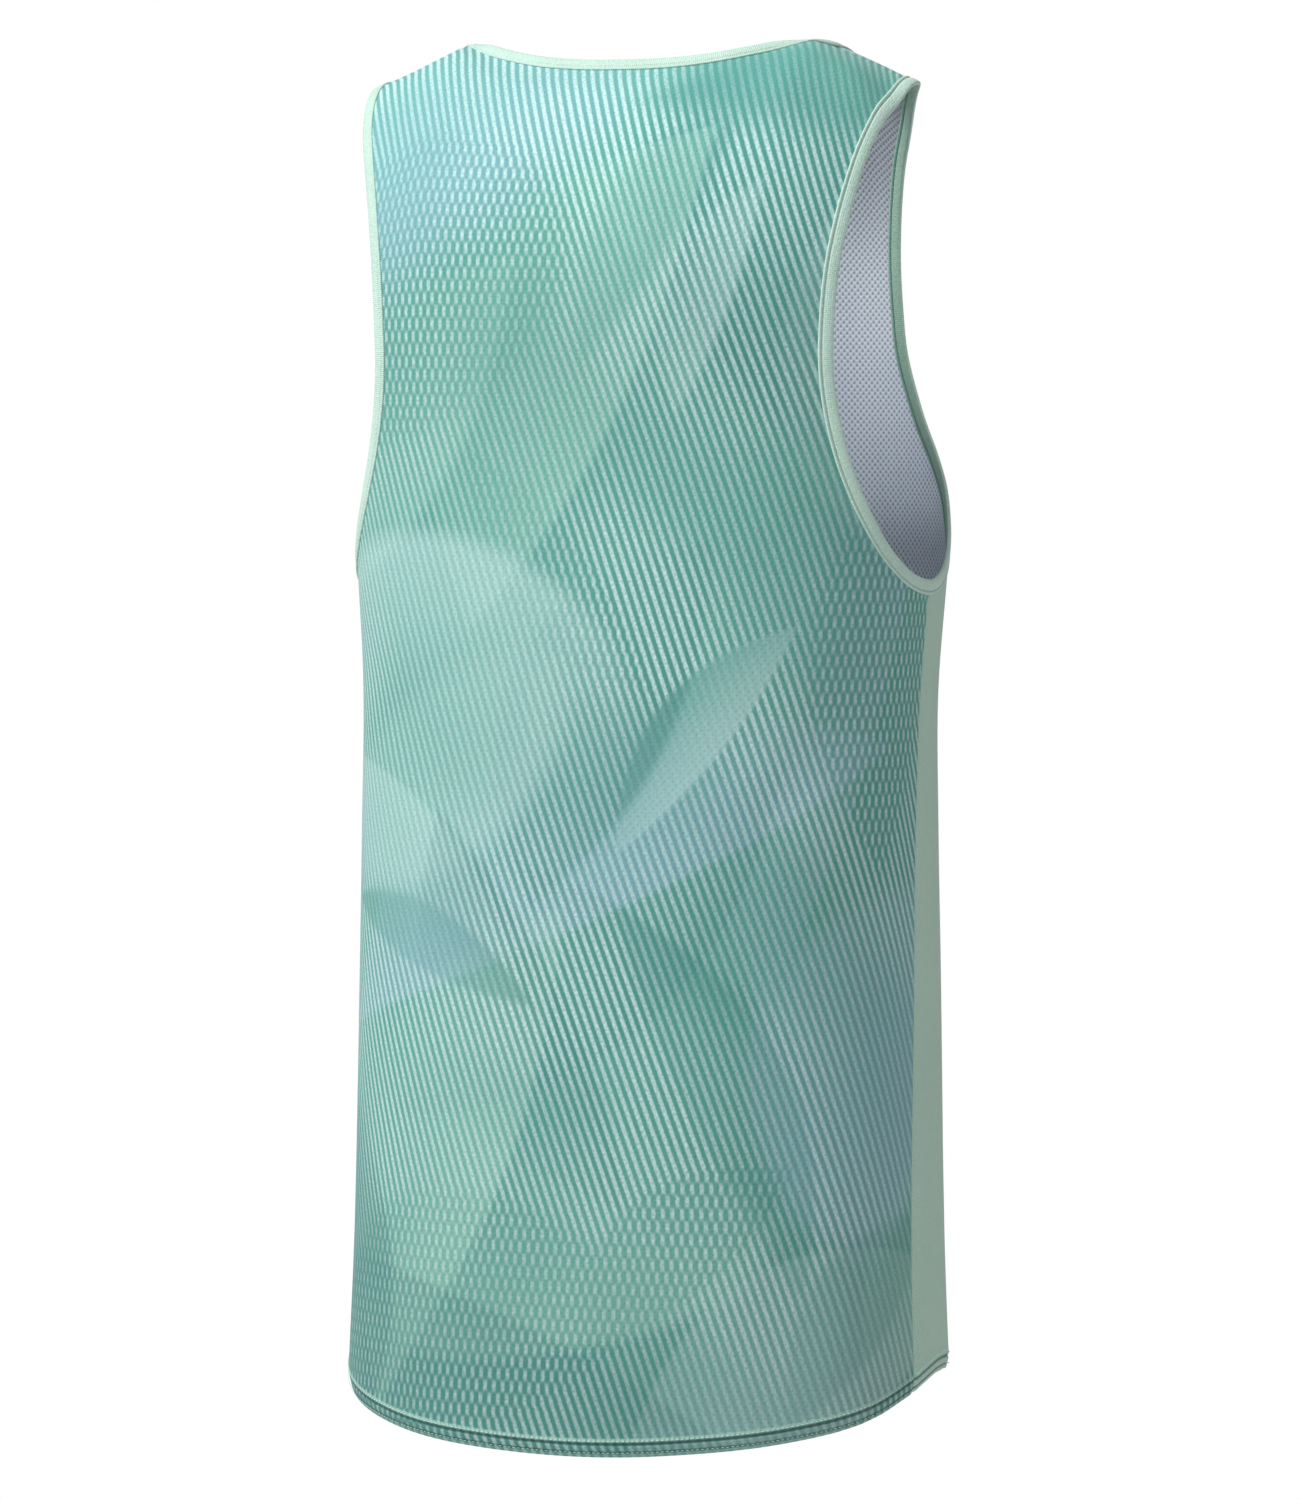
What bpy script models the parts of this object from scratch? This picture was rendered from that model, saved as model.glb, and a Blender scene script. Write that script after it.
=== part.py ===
"""Running singlet in its worn, filled-out shape, made of the pieces that a maker cuts and sews.

Frame: +Z up, the wearer faces -Y, so the back of the singlet is at +Y and its left side at +X.
The origin is the middle of the shoulder line, halfway between the two straps, where the shoulders
of the wearer carry it.

The cloth lies on one form: round sections of a general figure below the arms, closed over the
shoulders by a quarter turn. A place on the form is a share of the way from the centre line to the
side, and a rise up the cloth. A grid of such knots covers the whole singlet. The panels are cells
of the grid given a wall, and each binding is the row of cells along a raw edge, moved out and
wrapped round that edge.
"""

import math
from typing import NamedTuple

import bpy
import numpy as np

# Cloth and seams.
CLOTH = 0.0010
BINDING_CLOTH = 0.0010
BINDING_WIDTH = 0.0080
NOSE_TURN = math.radians(50)
NOSE_FLAT = 0.4
SEAM_GAP = 0.0003
HEM_HEIGHT = 0.0085
HEM_STEP = 0.0012

# Shoulder line and neck.
STRAP_TIP_X = 0.1485
STRAP_TIP_Z = -0.0130
NECK_POINT_X = 0.0960
NECK_POINT_Z = 0.0088
NECK_HOLLOW = 0.005
FRONT_NECK_DROP = 0.098
BACK_NECK_DEPTH = 0.040
BACK_NECK_FLATNESS = 3
BACK_NECK_ROUNDNESS = 0.78
YOKE_BASE = -0.150
YOKE_REACH = 0.150
YOKE_SQUARENESS = 2.8

ARMHOLE_BOTTOM_Z = -0.2707
ARMHOLE_TURN_Z = {"back": -0.226, "front": -0.206}


class Section(NamedTuple):
    """Level cut through the form."""

    height: float
    half_width: float
    depth_behind: float
    depth_in_front: float
    squareness: float


class EdgePlace(NamedTuple):
    """Place on an armhole edge: its height, and the cloth between it and the centre line."""

    height: float
    across: float


class SeamPlace(NamedTuple):
    """Width of the side panel at a height, behind and in front of the middle of the side."""

    height: float
    behind: float
    in_front: float


class HemPlace(NamedTuple):
    """Height of the hem, by quarter turns round the body from the centre of the back."""

    around: float
    height: float


class Fold(NamedTuple):
    """Soft fold that starts at the top and is full at the hem.

    Its place and width are in quarter turns round the body from the centre of the back, positive
    towards +X, so the sides are at 1 and -1 and the centre of the front is at 2.
    """

    place: float
    width: float
    top: float
    depth: float


SECTIONS = (
    Section(-0.740, 0.1612, 0.1210, 0.1130, 2.30),
    Section(-0.610, 0.1572, 0.1140, 0.1075, 2.32),
    Section(-0.480, 0.1545, 0.1120, 0.1045, 2.35),
    Section(-0.400, 0.1526, 0.1125, 0.1040, 2.38),
    Section(-0.330, 0.1518, 0.1090, 0.1065, 2.42),
    Section(-0.260, 0.1560, 0.1010, 0.1145, 2.50),
    Section(-0.200, 0.1590, 0.0970, 0.1170, 2.55),
    Section(-0.140, 0.1600, 0.0980, 0.1120, 2.60),
    Section(0.010, 0.1600, 0.0950, 0.0980, 2.60),
)

ARMHOLES = {
    "back": (
        EdgePlace(-0.034, 0.1508),
        EdgePlace(-0.057, 0.1440),
        EdgePlace(-0.084, 0.1373),
        EdgePlace(-0.110, 0.1324),
        EdgePlace(-0.136, 0.1301),
        EdgePlace(-0.162, 0.1297),
        EdgePlace(-0.188, 0.1332),
        EdgePlace(-0.213, 0.1408),
        EdgePlace(-0.236, 0.1525),
        EdgePlace(-0.252, 0.1645),
        EdgePlace(-0.263, 0.1785),
    ),
    "front": (
        EdgePlace(-0.034, 0.1300),
        EdgePlace(-0.062, 0.1175),
        EdgePlace(-0.086, 0.1125),
        EdgePlace(-0.110, 0.1105),
        EdgePlace(-0.132, 0.1110),
        EdgePlace(-0.152, 0.1135),
        EdgePlace(-0.171, 0.1190),
        EdgePlace(-0.190, 0.1280),
        EdgePlace(-0.208, 0.1415),
        EdgePlace(-0.226, 0.1570),
        EdgePlace(-0.242, 0.1710),
        EdgePlace(-0.2555, 0.1850),
        EdgePlace(-0.2655, 0.2000),
    ),
}

SIDE_SEAMS = (
    SeamPlace(-0.740, 0.0315, 0.046),
    SeamPlace(-0.600, 0.0278, 0.042),
    SeamPlace(-0.500, 0.0215, 0.040),
    SeamPlace(-0.400, 0.0145, 0.038),
    SeamPlace(-0.340, 0.0075, 0.039),
    SeamPlace(-0.300, 0.0040, 0.041),
    SeamPlace(-0.270, 0.0035, 0.042),
)

HEM = (
    HemPlace(0.0, -0.7186),
    HemPlace(0.25, -0.7162),
    HemPlace(0.5, -0.7098),
    HemPlace(0.7, -0.7010),
    HemPlace(0.85, -0.6905),
    HemPlace(1.0, -0.6825),
    HemPlace(1.2, -0.6855),
    HemPlace(1.5, -0.6950),
    HemPlace(2.0, -0.7020),
)

FOLDS = (
    Fold(0.78, 0.12, -0.42, 0.0008),
    Fold(0.34, 0.16, -0.46, 0.0020),
    Fold(-0.28, 0.12, -0.50, -0.0016),
    Fold(-0.66, 0.14, -0.40, 0.0014),
    Fold(1.34, 0.15, -0.40, 0.0026),
    Fold(1.72, 0.14, -0.46, -0.0018),
    Fold(-1.66, 0.16, -0.48, 0.0020),
    Fold(-1.30, 0.13, -0.42, -0.0024),
)
FOLD_FULL_Z = -0.74

# Columns of the grid, counted from the centre line to the middle of the side, and its rows.
NECK_COLUMN = 5
ARM_COLUMN = NECK_COLUMN + 4
SEAM_COLUMN = ARM_COLUMN + 5
SIDE_COLUMN = SEAM_COLUMN + 3
HEM_ROW = 2
ARM_ROW = HEM_ROW + 16
TOP_ROW = ARM_ROW + 16
NECK_ROW = {"back": TOP_ROW - 3, "front": TOP_ROW - 7}
RELAXING_PASSES = 2500
SECTION_SAMPLES = 96
LINE_SAMPLES = 24
NUDGE = 1e-4

FACES = ("back", "front")
HANDS = (1, -1)
BACK_TEAL = (0.30, 0.60, 0.56, 1.0)
FRONT_TEAL = (0.34, 0.64, 0.60, 1.0)
SAGE = (0.42, 0.54, 0.46, 1.0)
MINT = (0.60, 0.80, 0.70, 1.0)


def smooth_columns(rows, heights):
    """Columns of a table where its first column has these values, on smooth curves level at the ends."""
    table = np.array(rows)
    stops, values = table[:, 0], table[:, 1:]
    slopes = np.gradient(values, stops, axis=0)
    slopes[[0, -1]] = 0
    heights = np.clip(heights, stops[0], stops[-1])
    low = np.clip(np.searchsorted(stops, heights, side="right") - 1, 0, len(stops) - 2)
    span = (stops[low + 1] - stops[low])[:, None]
    t = (heights - stops[low])[:, None] / span
    return (
        values[low] * (1 + 2 * t) * (1 - t) ** 2
        + values[low + 1] * t**2 * (3 - 2 * t)
        + slopes[low] * span * t * (1 - t) ** 2
        - slopes[low + 1] * span * t**2 * (1 - t)
    )


def eased(t):
    """0 to 1, level at both ends."""
    t = np.clip(t, 0, 1)
    return t * t * (3 - 2 * t)


def unit(vector):
    """The vector at length 1."""
    return vector / np.linalg.norm(vector)


def shoulder_height(x):
    """Height of the shoulder line. Inside the neck it dips to its lowest in the middle."""
    across = np.clip((STRAP_TIP_X - x) / (STRAP_TIP_X - NECK_POINT_X), 0, 1)
    strap = STRAP_TIP_Z + (NECK_POINT_Z - STRAP_TIP_Z) * across
    return strap - NECK_HOLLOW * (1 - np.minimum(x / NECK_POINT_X, 1) ** 2)


def section_curves(face, heights):
    """Quarter sections at these heights, a row for each: x, y and cloth from the centre line."""
    half_width, behind, in_front, squareness = smooth_columns(SECTIONS, heights).T[:, :, None]
    depth = behind if face == "back" else in_front
    turn = np.linspace(0, math.pi / 2, SECTION_SAMPLES)[None, :]
    reach = (np.sin(turn) / half_width) ** squareness + (np.cos(turn) / depth) ** squareness
    reach = reach ** (-1 / squareness)
    x, y = reach * np.sin(turn), reach * np.cos(turn)
    steps = np.hypot(np.diff(x), np.diff(y))
    cloth = np.concatenate([np.zeros((len(x), 1)), np.cumsum(steps, axis=1)], axis=1)
    return x, y, cloth


def yoke_turn(rise):
    """Shares of the way up to the shoulder line and of the depth left, on the turn over the shoulder."""
    turn = np.maximum(rise - YOKE_BASE, 0) / YOKE_REACH
    up, out = np.sin(turn), np.cos(turn)
    reach = (up**YOKE_SQUARENESS + np.abs(out) ** YOKE_SQUARENESS) ** (-1 / YOKE_SQUARENESS)
    return up * reach, out * reach


def section_height(rise):
    """Height of the section that the form has at this rise."""
    return np.where(rise > YOKE_BASE, YOKE_BASE + YOKE_REACH * yoke_turn(rise)[0], rise)


def fold_lift(face, hand, share, z):
    """How far the folds move the cloth out of the plain form."""
    around = hand * share if face == "back" else hand * (2 - share)
    lift = np.zeros(len(share))
    for fold in FOLDS:
        off = ((around - fold.place + 2) % 4 - 2) / fold.width
        lift += fold.depth * np.exp(-(off**2)) * eased((fold.top - z) / (fold.top - FOLD_FULL_Z))
    return lift


def form_points(face, hand, share, rise):
    """Points of the form at these shares and rises. hand is 1 towards +X and -1 towards -X."""
    share, rise = np.asarray(share, float), np.asarray(rise, float)
    x, y, cloth = section_curves(face, section_height(rise))
    wanted = np.clip(share, 0, 1) * cloth[:, -1]
    px = np.array([np.interp(w, s, v) for w, s, v in zip(wanted, cloth, x)])
    py = np.array([np.interp(w, s, v) for w, s, v in zip(wanted, cloth, y)])
    up, out = yoke_turn(rise)
    pz = np.where(rise > YOKE_BASE, YOKE_BASE + (shoulder_height(px) - YOKE_BASE) * up, rise)
    grown = 1 + fold_lift(face, hand, share, pz) / np.hypot(px, py)
    side = 1 if face == "back" else -1
    return np.stack([px * hand * grown, py * side * out * grown, pz], axis=1)


def rise_at(x, z):
    """Rise of the form's point with this x and z."""
    up = min((z - YOKE_BASE) / (shoulder_height(x) - YOKE_BASE), 1)
    if up <= 0:
        return z
    out = (1 - up**YOKE_SQUARENESS) ** (1 / YOKE_SQUARENESS)
    return YOKE_BASE + YOKE_REACH * math.atan2(up, out)


def knot_at(face, x, z):
    """Knot of the form's point with this x and z."""
    rise = rise_at(x, z)
    xs, _, cloth = section_curves(face, section_height(np.array([rise])))
    return np.array([np.interp(x, xs[0], cloth[0]) / cloth[0, -1], rise])


def knot_across(face, z, across):
    """Knot at height z with this much cloth between it and the centre line."""
    rise = z
    for _ in range(6):
        xs, _, cloth = section_curves(face, section_height(np.array([rise])))
        rise = rise_at(float(np.interp(across, cloth[0], xs[0])), z)
    return np.array([across / cloth[0, -1], rise])


def spline(knots):
    """Smooth line through the knots, square to the shoulder line and to the middle of the side."""
    over_shoulder = knots[1] * [1, -1] + [0, 2 * knots[0, 1]]
    past_side = knots[-2] * [-1, 1] + [2, 0]
    ends = np.vstack([over_shoulder, knots, past_side])
    line = []
    for before, start, end, after in zip(ends, ends[1:], ends[2:], ends[3:]):
        for t in np.linspace(0, 1, LINE_SAMPLES, endpoint=False):
            bend = (2 * before - 5 * start + 4 * end - after) * t**2
            twist = (3 * start - before - 3 * end + after) * t**3
            line.append(0.5 * (2 * start + (end - before) * t + bend + twist))
    return np.array(line + [knots[-1]])


def armhole_line(face):
    """Knots along the armhole edge, from the strap tip to the middle of the side."""
    places = [knot_across(face, place.height, place.across) for place in ARMHOLES[face]]
    tip = knot_at(face, STRAP_TIP_X, STRAP_TIP_Z)
    return spline(np.array([tip, *places, (1.0, ARMHOLE_BOTTOM_Z)]))


def knot_behind(x, y):
    """Knot of the form's point with this x and y, behind the shoulder line."""
    rise = YOKE_BASE + YOKE_REACH * math.pi / 2
    for _ in range(4):
        xs, ys, cloth = section_curves("back", section_height(np.array([rise])))
        out = y / float(np.interp(x, xs[0], ys[0]))
        up = (1 - out**YOKE_SQUARENESS) ** (1 / YOKE_SQUARENESS)
        rise = YOKE_BASE + YOKE_REACH * math.atan2(up, out)
    return np.array([np.interp(x, xs[0], cloth[0]) / cloth[0, -1], rise])


def neck_line(face):
    """Knots along the neckline, from the neck point to the centre."""
    line = []
    for turn in np.linspace(math.pi / 2, 0, 8 * LINE_SAMPLES):
        x = NECK_POINT_X * math.sin(turn)
        if face == "front":
            line.append(knot_at(face, x, NECK_POINT_Z - FRONT_NECK_DROP * math.cos(turn)))
        else:
            depth = (1 - math.sin(turn) ** BACK_NECK_FLATNESS) ** BACK_NECK_ROUNDNESS
            line.append(knot_behind(x, BACK_NECK_DEPTH * depth))
    return np.array(line)


def cloth_along(face, line):
    """Length of cloth from the start of a line to each of its knots."""
    points = form_points(face, 1, line[:, 0], line[:, 1])
    return np.concatenate([[0], np.cumsum(np.linalg.norm(np.diff(points, axis=0), axis=1))])


def knots_at(along, line, stops):
    """Knots of a line at these lengths of cloth."""
    return np.stack([np.interp(stops, along, line[:, k]) for k in (0, 1)], axis=1)


def evenly(face, line, cells):
    """Knots that part a line into equal lengths of cloth."""
    along = cloth_along(face, line)
    return knots_at(along, line, np.linspace(0, along[-1], cells + 1))


def strap_knots(face):
    """Knots of the shoulder line from the strap tip to the neck point, the end ones under bindings."""
    places = np.linspace(STRAP_TIP_X, NECK_POINT_X, LINE_SAMPLES)
    line = np.array([knot_at(face, x, shoulder_height(x)) for x in places])
    along = cloth_along(face, line)
    inner = np.linspace(BINDING_WIDTH, along[-1] - BINDING_WIDTH, ARM_COLUMN - NECK_COLUMN - 1)
    return knots_at(along, line, [0, *inner, along[-1]])


def stepped_in(face, knot, heading):
    """The knot a binding's width from an edge, square to it along the cloth, on the left of heading."""
    knot = np.array(knot)
    steps = 6
    for _ in range(steps):
        back_off = NUDGE if knot[0] < 0.5 else -NUDGE
        here, beside, above = form_points(
            face, 1, knot[0] + np.array([0, back_off, 0]), knot[1] - np.array([0, 0, NUDGE])
        )
        across, up = (beside - here) / back_off, (here - above) / NUDGE
        stretch = np.array([[across @ across, across @ up], [across @ up, up @ up]])
        lean = stretch @ heading
        square = np.array([-lean[1], lean[0]])
        knot += square * BINDING_WIDTH / steps / math.sqrt(square @ stretch @ square)
    return knot


def pin_ring(face, pins, edge, corner, inward):
    """Pins the knots a binding's width inside a raw edge that turns at its corner.

    The edge comes down a column to the corner, a (column, row), and then follows a row. inward is
    the column step from the edge into the cloth.
    """
    column, row = corner
    turn = TOP_ROW - row
    ahead = np.vstack([edge[1:], 2 * edge[-1] - edge[-2]])
    behind = np.vstack([edge[:1], edge[:-1]])
    headings = (behind - ahead) * -inward
    inside = [stepped_in(face, knot, heading) for knot, heading in zip(edge, headings)]
    for k in range(1, turn):
        pins[column + inward, TOP_ROW - k] = inside[k]
    pins[column + inward, row - 1] = inside[turn]
    for k in range(turn + 1, len(edge)):
        pins[column - inward * (k - turn), row - 1] = inside[k]
    pins[column + inward, row] = (2 * inside[turn] + inside[turn - 1]) / 3
    pins[column, row - 1] = (2 * inside[turn] + inside[turn + 1]) / 3


def seam_share(face, rise):
    """Place of the side seam at this rise."""
    rise = np.array([rise])
    behind, in_front = smooth_columns(SIDE_SEAMS, rise)[0]
    half = behind if face == "back" else in_front
    return 1 - half / section_curves(face, rise)[2][0, -1]


def hem_height(face, share):
    """Height of the hem's edge."""
    around = share if face == "back" else 2 - share
    return smooth_columns(HEM, np.array([around]))[0, 0]


def side_share(face, column, rise):
    """Place of a column of the side panel at this rise."""
    seam = seam_share(face, rise)
    return seam + (1 - seam) * (column - SEAM_COLUMN) / (SIDE_COLUMN - SEAM_COLUMN)


def pinned_knots(face):
    """Knots of a half of one face that have a set place, by (column, row)."""
    pins = {}
    arm_line = armhole_line(face)
    turn = int(np.argmin(np.abs(arm_line[:, 1] - ARMHOLE_TURN_Z[face])))
    seam = int(np.argmin(np.abs(arm_line[:, 0] - seam_share(face, ARMHOLE_BOTTOM_Z))))
    upright = evenly(face, arm_line[: turn + 1], TOP_ROW - ARM_ROW)
    under = evenly(face, arm_line[turn : seam + 1], SEAM_COLUMN - ARM_COLUMN)
    side = evenly(face, arm_line[seam:], SIDE_COLUMN - SEAM_COLUMN)
    arm = np.vstack([upright, under[1:], side[1:]])
    neck_row = NECK_ROW[face]
    neck = evenly(face, neck_line(face), TOP_ROW - neck_row + NECK_COLUMN)
    for k, knot in enumerate(arm):
        down = min(k, TOP_ROW - ARM_ROW)
        pins[ARM_COLUMN + k - down, TOP_ROW - down] = knot
    for k, knot in enumerate(neck):
        down = min(k, TOP_ROW - neck_row)
        pins[NECK_COLUMN - k + down, TOP_ROW - down] = knot
    for k, knot in enumerate(strap_knots(face)):
        pins[ARM_COLUMN - k, TOP_ROW] = knot
    pin_ring(face, pins, arm, (ARM_COLUMN, ARM_ROW), -1)
    pin_ring(face, pins, neck, (NECK_COLUMN, neck_row), 1)
    pin_hem_and_side(face, pins)
    return pins


def pin_hem_and_side(face, pins):
    """Pins the hem band, and the side panel's columns up to the armhole binding."""
    side_hem = hem_height("back", 1)
    seam = seam_share(face, side_hem)
    for column in range(SIDE_COLUMN + 1):
        share = min(seam * column / SEAM_COLUMN, seam)
        if column > SEAM_COLUMN:
            share = side_share(face, column, side_hem)
        hem = hem_height(face, share)
        for row, up in enumerate((0, HEM_HEIGHT, HEM_HEIGHT + HEM_STEP)):
            pins[column, row] = np.array([share, hem + up])
    for column in range(SEAM_COLUMN, SIDE_COLUMN + 1):
        low, high = pins[column, HEM_ROW][1], pins[column, ARM_ROW - 1][1]
        for row in range(HEM_ROW + 1, ARM_ROW):
            rise = low + (high - low) * (row - HEM_ROW) / (ARM_ROW - 1 - HEM_ROW)
            pins[column, row] = np.array([side_share(face, column, rise), rise])


def has_knot(face, column, row):
    """Whether the cloth reaches this place of the grid."""
    if column > ARM_COLUMN:
        return row <= ARM_ROW
    return row <= TOP_ROW if column >= NECK_COLUMN else row <= NECK_ROW[face]


def half_grid(face):
    """Knots of a half of one face. Those with no set place settle midway between their neighbours."""
    pins = pinned_knots(face)
    grid = np.zeros((SIDE_COLUMN + 1, TOP_ROW + 1, 2))
    free = np.zeros(grid.shape, bool)
    for column in range(SIDE_COLUMN + 1):
        for row in range(TOP_ROW + 1):
            if (column, row) in pins:
                grid[column, row] = pins[column, row]
            elif has_knot(face, column, row):
                free[column, row] = True
                ceiling = min(above for at, above in pins if at == column and above > row)
                climb = (row - HEM_ROW) / (ceiling - HEM_ROW)
                grid[column, row] = pins[column, HEM_ROW] * (1 - climb) + pins[column, ceiling] * climb
    for _ in range(RELAXING_PASSES):
        west, east = np.roll(grid, 1, axis=0), np.roll(grid, -1, axis=0)
        west[0] = grid[1] * [-1, 1]
        beneath, above = np.roll(grid, 1, axis=1), np.roll(grid, -1, axis=1)
        grid = np.where(free, (west + east + beneath + above) / 4, grid)
    return grid


def knot_name(face, hand, column, row):
    """One name for each knot, also for those that two faces or two halves share."""
    if column == 0:
        hand = 1
    if column == SIDE_COLUMN or row == TOP_ROW:
        face = "back"
    return face, hand, column, row


class Cell(NamedTuple):
    """Four knots round a cell, anticlockwise from outside, and the piece that it is cut from."""

    knots: tuple
    piece: str


class Garment:
    """Points, outward normals and cells of the whole singlet."""

    def __init__(self):
        self.points = {}
        self.normals = {}
        self.cells = []
        for face in FACES:
            grid = half_grid(face)
            for hand in HANDS:
                self.add_half(face, hand, grid)

    def add_half(self, face, hand, grid):
        """Adds the knots and cells of a half of one face."""
        places = [
            (column, row)
            for column in range(SIDE_COLUMN + 1)
            for row in range(TOP_ROW + 1)
            if has_knot(face, column, row)
        ]
        share, rise = np.array([grid[place] for place in places]).T
        beside = np.where(share < 0.5, NUDGE, -NUDGE)
        points = form_points(face, hand, share, rise)
        across = (form_points(face, hand, share + beside, rise) - points) / beside[:, None]
        up = (points - form_points(face, hand, share, rise - NUDGE)) / NUDGE
        outward = hand if face == "front" else -hand
        for place, point, normal in zip(places, points, np.cross(across, up) * outward):
            name = knot_name(face, hand, *place)
            self.points.setdefault(name, point)
            self.normals.setdefault(name, unit(normal))
        for column, row in places:
            corners = [(column, row), (column + 1, row), (column + 1, row + 1), (column, row + 1)]
            if all(c <= SIDE_COLUMN and r <= TOP_ROW and has_knot(face, c, r) for c, r in corners):
                if outward < 0:
                    corners = [corners[0], corners[3], corners[2], corners[1]]
                knots = tuple(knot_name(face, hand, c, r) for c, r in corners)
                side = "side_panel_left" if hand > 0 else "side_panel_right"
                self.cells.append(Cell(knots, side if column >= SEAM_COLUMN else f"{face}_panel"))


def open_sides(cells):
    """Sides that only one of these cells has, as pairs of knots in the cell's own order."""
    sides = [(a, b) for cell in cells for a, b in zip(cell.knots, cell.knots[1:] + cell.knots[:1])]
    both = set(sides)
    return [(a, b) for a, b in sides if (b, a) not in both]


class Shape:
    """Mesh of one piece, built from knots in named layers."""

    def __init__(self):
        self.vertices = []
        self.faces = []
        self.numbers = {}

    def place(self, layer, knot, point):
        """Puts a knot's vertex in a layer."""
        self.numbers[layer, knot] = len(self.vertices)
        self.vertices.append(tuple(point))

    def face(self, corners):
        """Adds a four-cornered face as two triangles, always parted between its first and third."""
        a, b, c, d = (self.numbers[corner] for corner in corners)
        self.faces += [(a, b, c), (a, c, d)]

    def skin(self, layer, cells, turned=False):
        """Adds a layer's cells, facing out, or in where turned."""
        for cell in cells:
            a, b, c, d = cell.knots
            order = (a, d, c, b) if turned else (a, b, c, d)
            self.face([(layer, knot) for knot in order])

    def strip(self, upper, lower, sides):
        """Joins two layers along these sides, facing away from the cells that they come from."""
        for a, b in sides:
            self.face([(upper, b), (upper, a), (lower, a), (lower, b)])

    def build(self, name, colour):
        """Makes the object, with its own material."""
        mesh = bpy.data.meshes.new(name)
        mesh.from_pydata(self.vertices, [], self.faces)
        mesh.shade_smooth()
        mesh.set_sharp_from_angle(angle=math.radians(40))
        material = bpy.data.materials.new(f"{name}_cloth")
        material.use_nodes = True
        principled = material.node_tree.nodes["Principled BSDF"]
        principled.inputs["Base Color"].default_value = colour
        principled.inputs["Roughness"].default_value = 0.85
        principled.inputs["Metallic"].default_value = 0.0
        mesh.materials.append(material)
        bpy.context.scene.collection.objects.link(bpy.data.objects.new(name, mesh))


def seam_inner(piece, knot):
    """The next knot inside a piece, for a knot on one of its seams, or None for one that isn't."""
    face, hand, column, row = knot
    if piece.startswith("side_panel"):
        return knot_name(face, hand, SEAM_COLUMN + 1, row) if column == SEAM_COLUMN else None
    if row == TOP_ROW:
        return knot_name(piece.split("_")[0], hand, column, TOP_ROW - 1)
    return knot_name(face, hand, SEAM_COLUMN - 1, row) if column == SEAM_COLUMN else None


def build_panel(garment, piece, colour):
    """Builds a panel: its cells with a wall inwards, double in the hem, half a gap short of each seam."""
    cells = [cell for cell in garment.cells if cell.piece == piece]
    shape = Shape()
    for knot in dict.fromkeys(knot for cell in cells for knot in cell.knots):
        point = garment.points[knot]
        inner = seam_inner(piece, knot)
        if inner:
            point = point + unit(garment.points[inner] - point) * SEAM_GAP / 2
        layers = 2 if knot[-1] < HEM_ROW else 1
        shape.place("outside", knot, point)
        shape.place("inside", knot, point - garment.normals[knot] * CLOTH * layers)
    shape.skin("outside", cells)
    shape.skin("inside", cells, turned=True)
    shape.strip("outside", "inside", open_sides(cells))
    shape.build(piece, colour)


def build_binding(garment, name, is_edge, colour):
    """Builds a binding: the cells along a raw edge moved out, over the edge and back inside."""
    cells = [cell for cell in garment.cells if any(is_edge(knot) for knot in cell.knots)]
    edge = {knot for cell in cells for knot in cell.knots if is_edge(knot)}
    sides = open_sides(cells)
    raw = [side for side in sides if side[0] in edge and side[1] in edge]
    free = [side for side in sides if side not in raw]
    beyond = outward_of_edge(garment, cells, edge)
    under, over = SEAM_GAP, SEAM_GAP + BINDING_CLOTH
    heights = {"top": over, "under": under, "inner": -CLOTH - under, "bottom": -CLOTH - over}
    shape = Shape()
    for knot in dict.fromkeys(knot for cell in cells for knot in cell.knots):
        point, normal = garment.points[knot], garment.normals[knot]
        for layer, height in heights.items():
            lip = beyond[knot] * under if knot in edge and layer in ("under", "inner") else 0
            shape.place(layer, knot, point + normal * height + lip)
        if knot in edge:
            for layer, turn in (("nose_high", NOSE_TURN), ("nose_low", -NOSE_TURN)):
                height = (CLOTH / 2 + over) * math.sin(turn) - CLOTH / 2
                reach = over * (math.cos(turn) + NOSE_FLAT)
                shape.place(layer, knot, point + normal * height + beyond[knot] * reach)
    shape.skin("top", cells)
    shape.skin("under", cells, turned=True)
    shape.skin("inner", cells)
    shape.skin("bottom", cells, turned=True)
    shape.strip("top", "under", free)
    shape.strip("inner", "bottom", free)
    for upper, lower in (("top", "nose_high"), ("nose_high", "nose_low"), ("nose_low", "bottom")):
        shape.strip(upper, lower, raw)
    shape.strip("under", "inner", [(b, a) for a, b in raw])
    shape.build(name, colour)


def outward_of_edge(garment, cells, edge):
    """For each knot of a raw edge, the direction along the cloth that leads out past the edge."""
    inward = {}
    for cell in cells:
        for knot in edge.intersection(cell.knots):
            for other in set(cell.knots) - edge:
                inward.setdefault(knot, []).append(unit(garment.points[other] - garment.points[knot]))
    out = {}
    for knot, ways in inward.items():
        normal = garment.normals[knot]
        away = -np.sum(ways, axis=0)
        out[knot] = unit(away - normal * (away @ normal))
    return out


def on_armhole(hand):
    """Test of whether a knot lies on the armhole edge of this hand."""

    def test(knot):
        _, knot_hand, column, row = knot
        upright = column == ARM_COLUMN and row >= ARM_ROW
        return knot_hand == hand and (upright or (column >= ARM_COLUMN and row == ARM_ROW))

    return test


def on_neckline(knot):
    """Whether a knot lies on the neckline."""
    face, _, column, row = knot
    upright = column == NECK_COLUMN and row >= NECK_ROW[face]
    return upright or (column <= NECK_COLUMN and row == NECK_ROW[face])


def clear_scene():
    """Removes what the scene starts with."""
    for obj in list(bpy.data.objects):
        bpy.data.objects.remove(obj)


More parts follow.
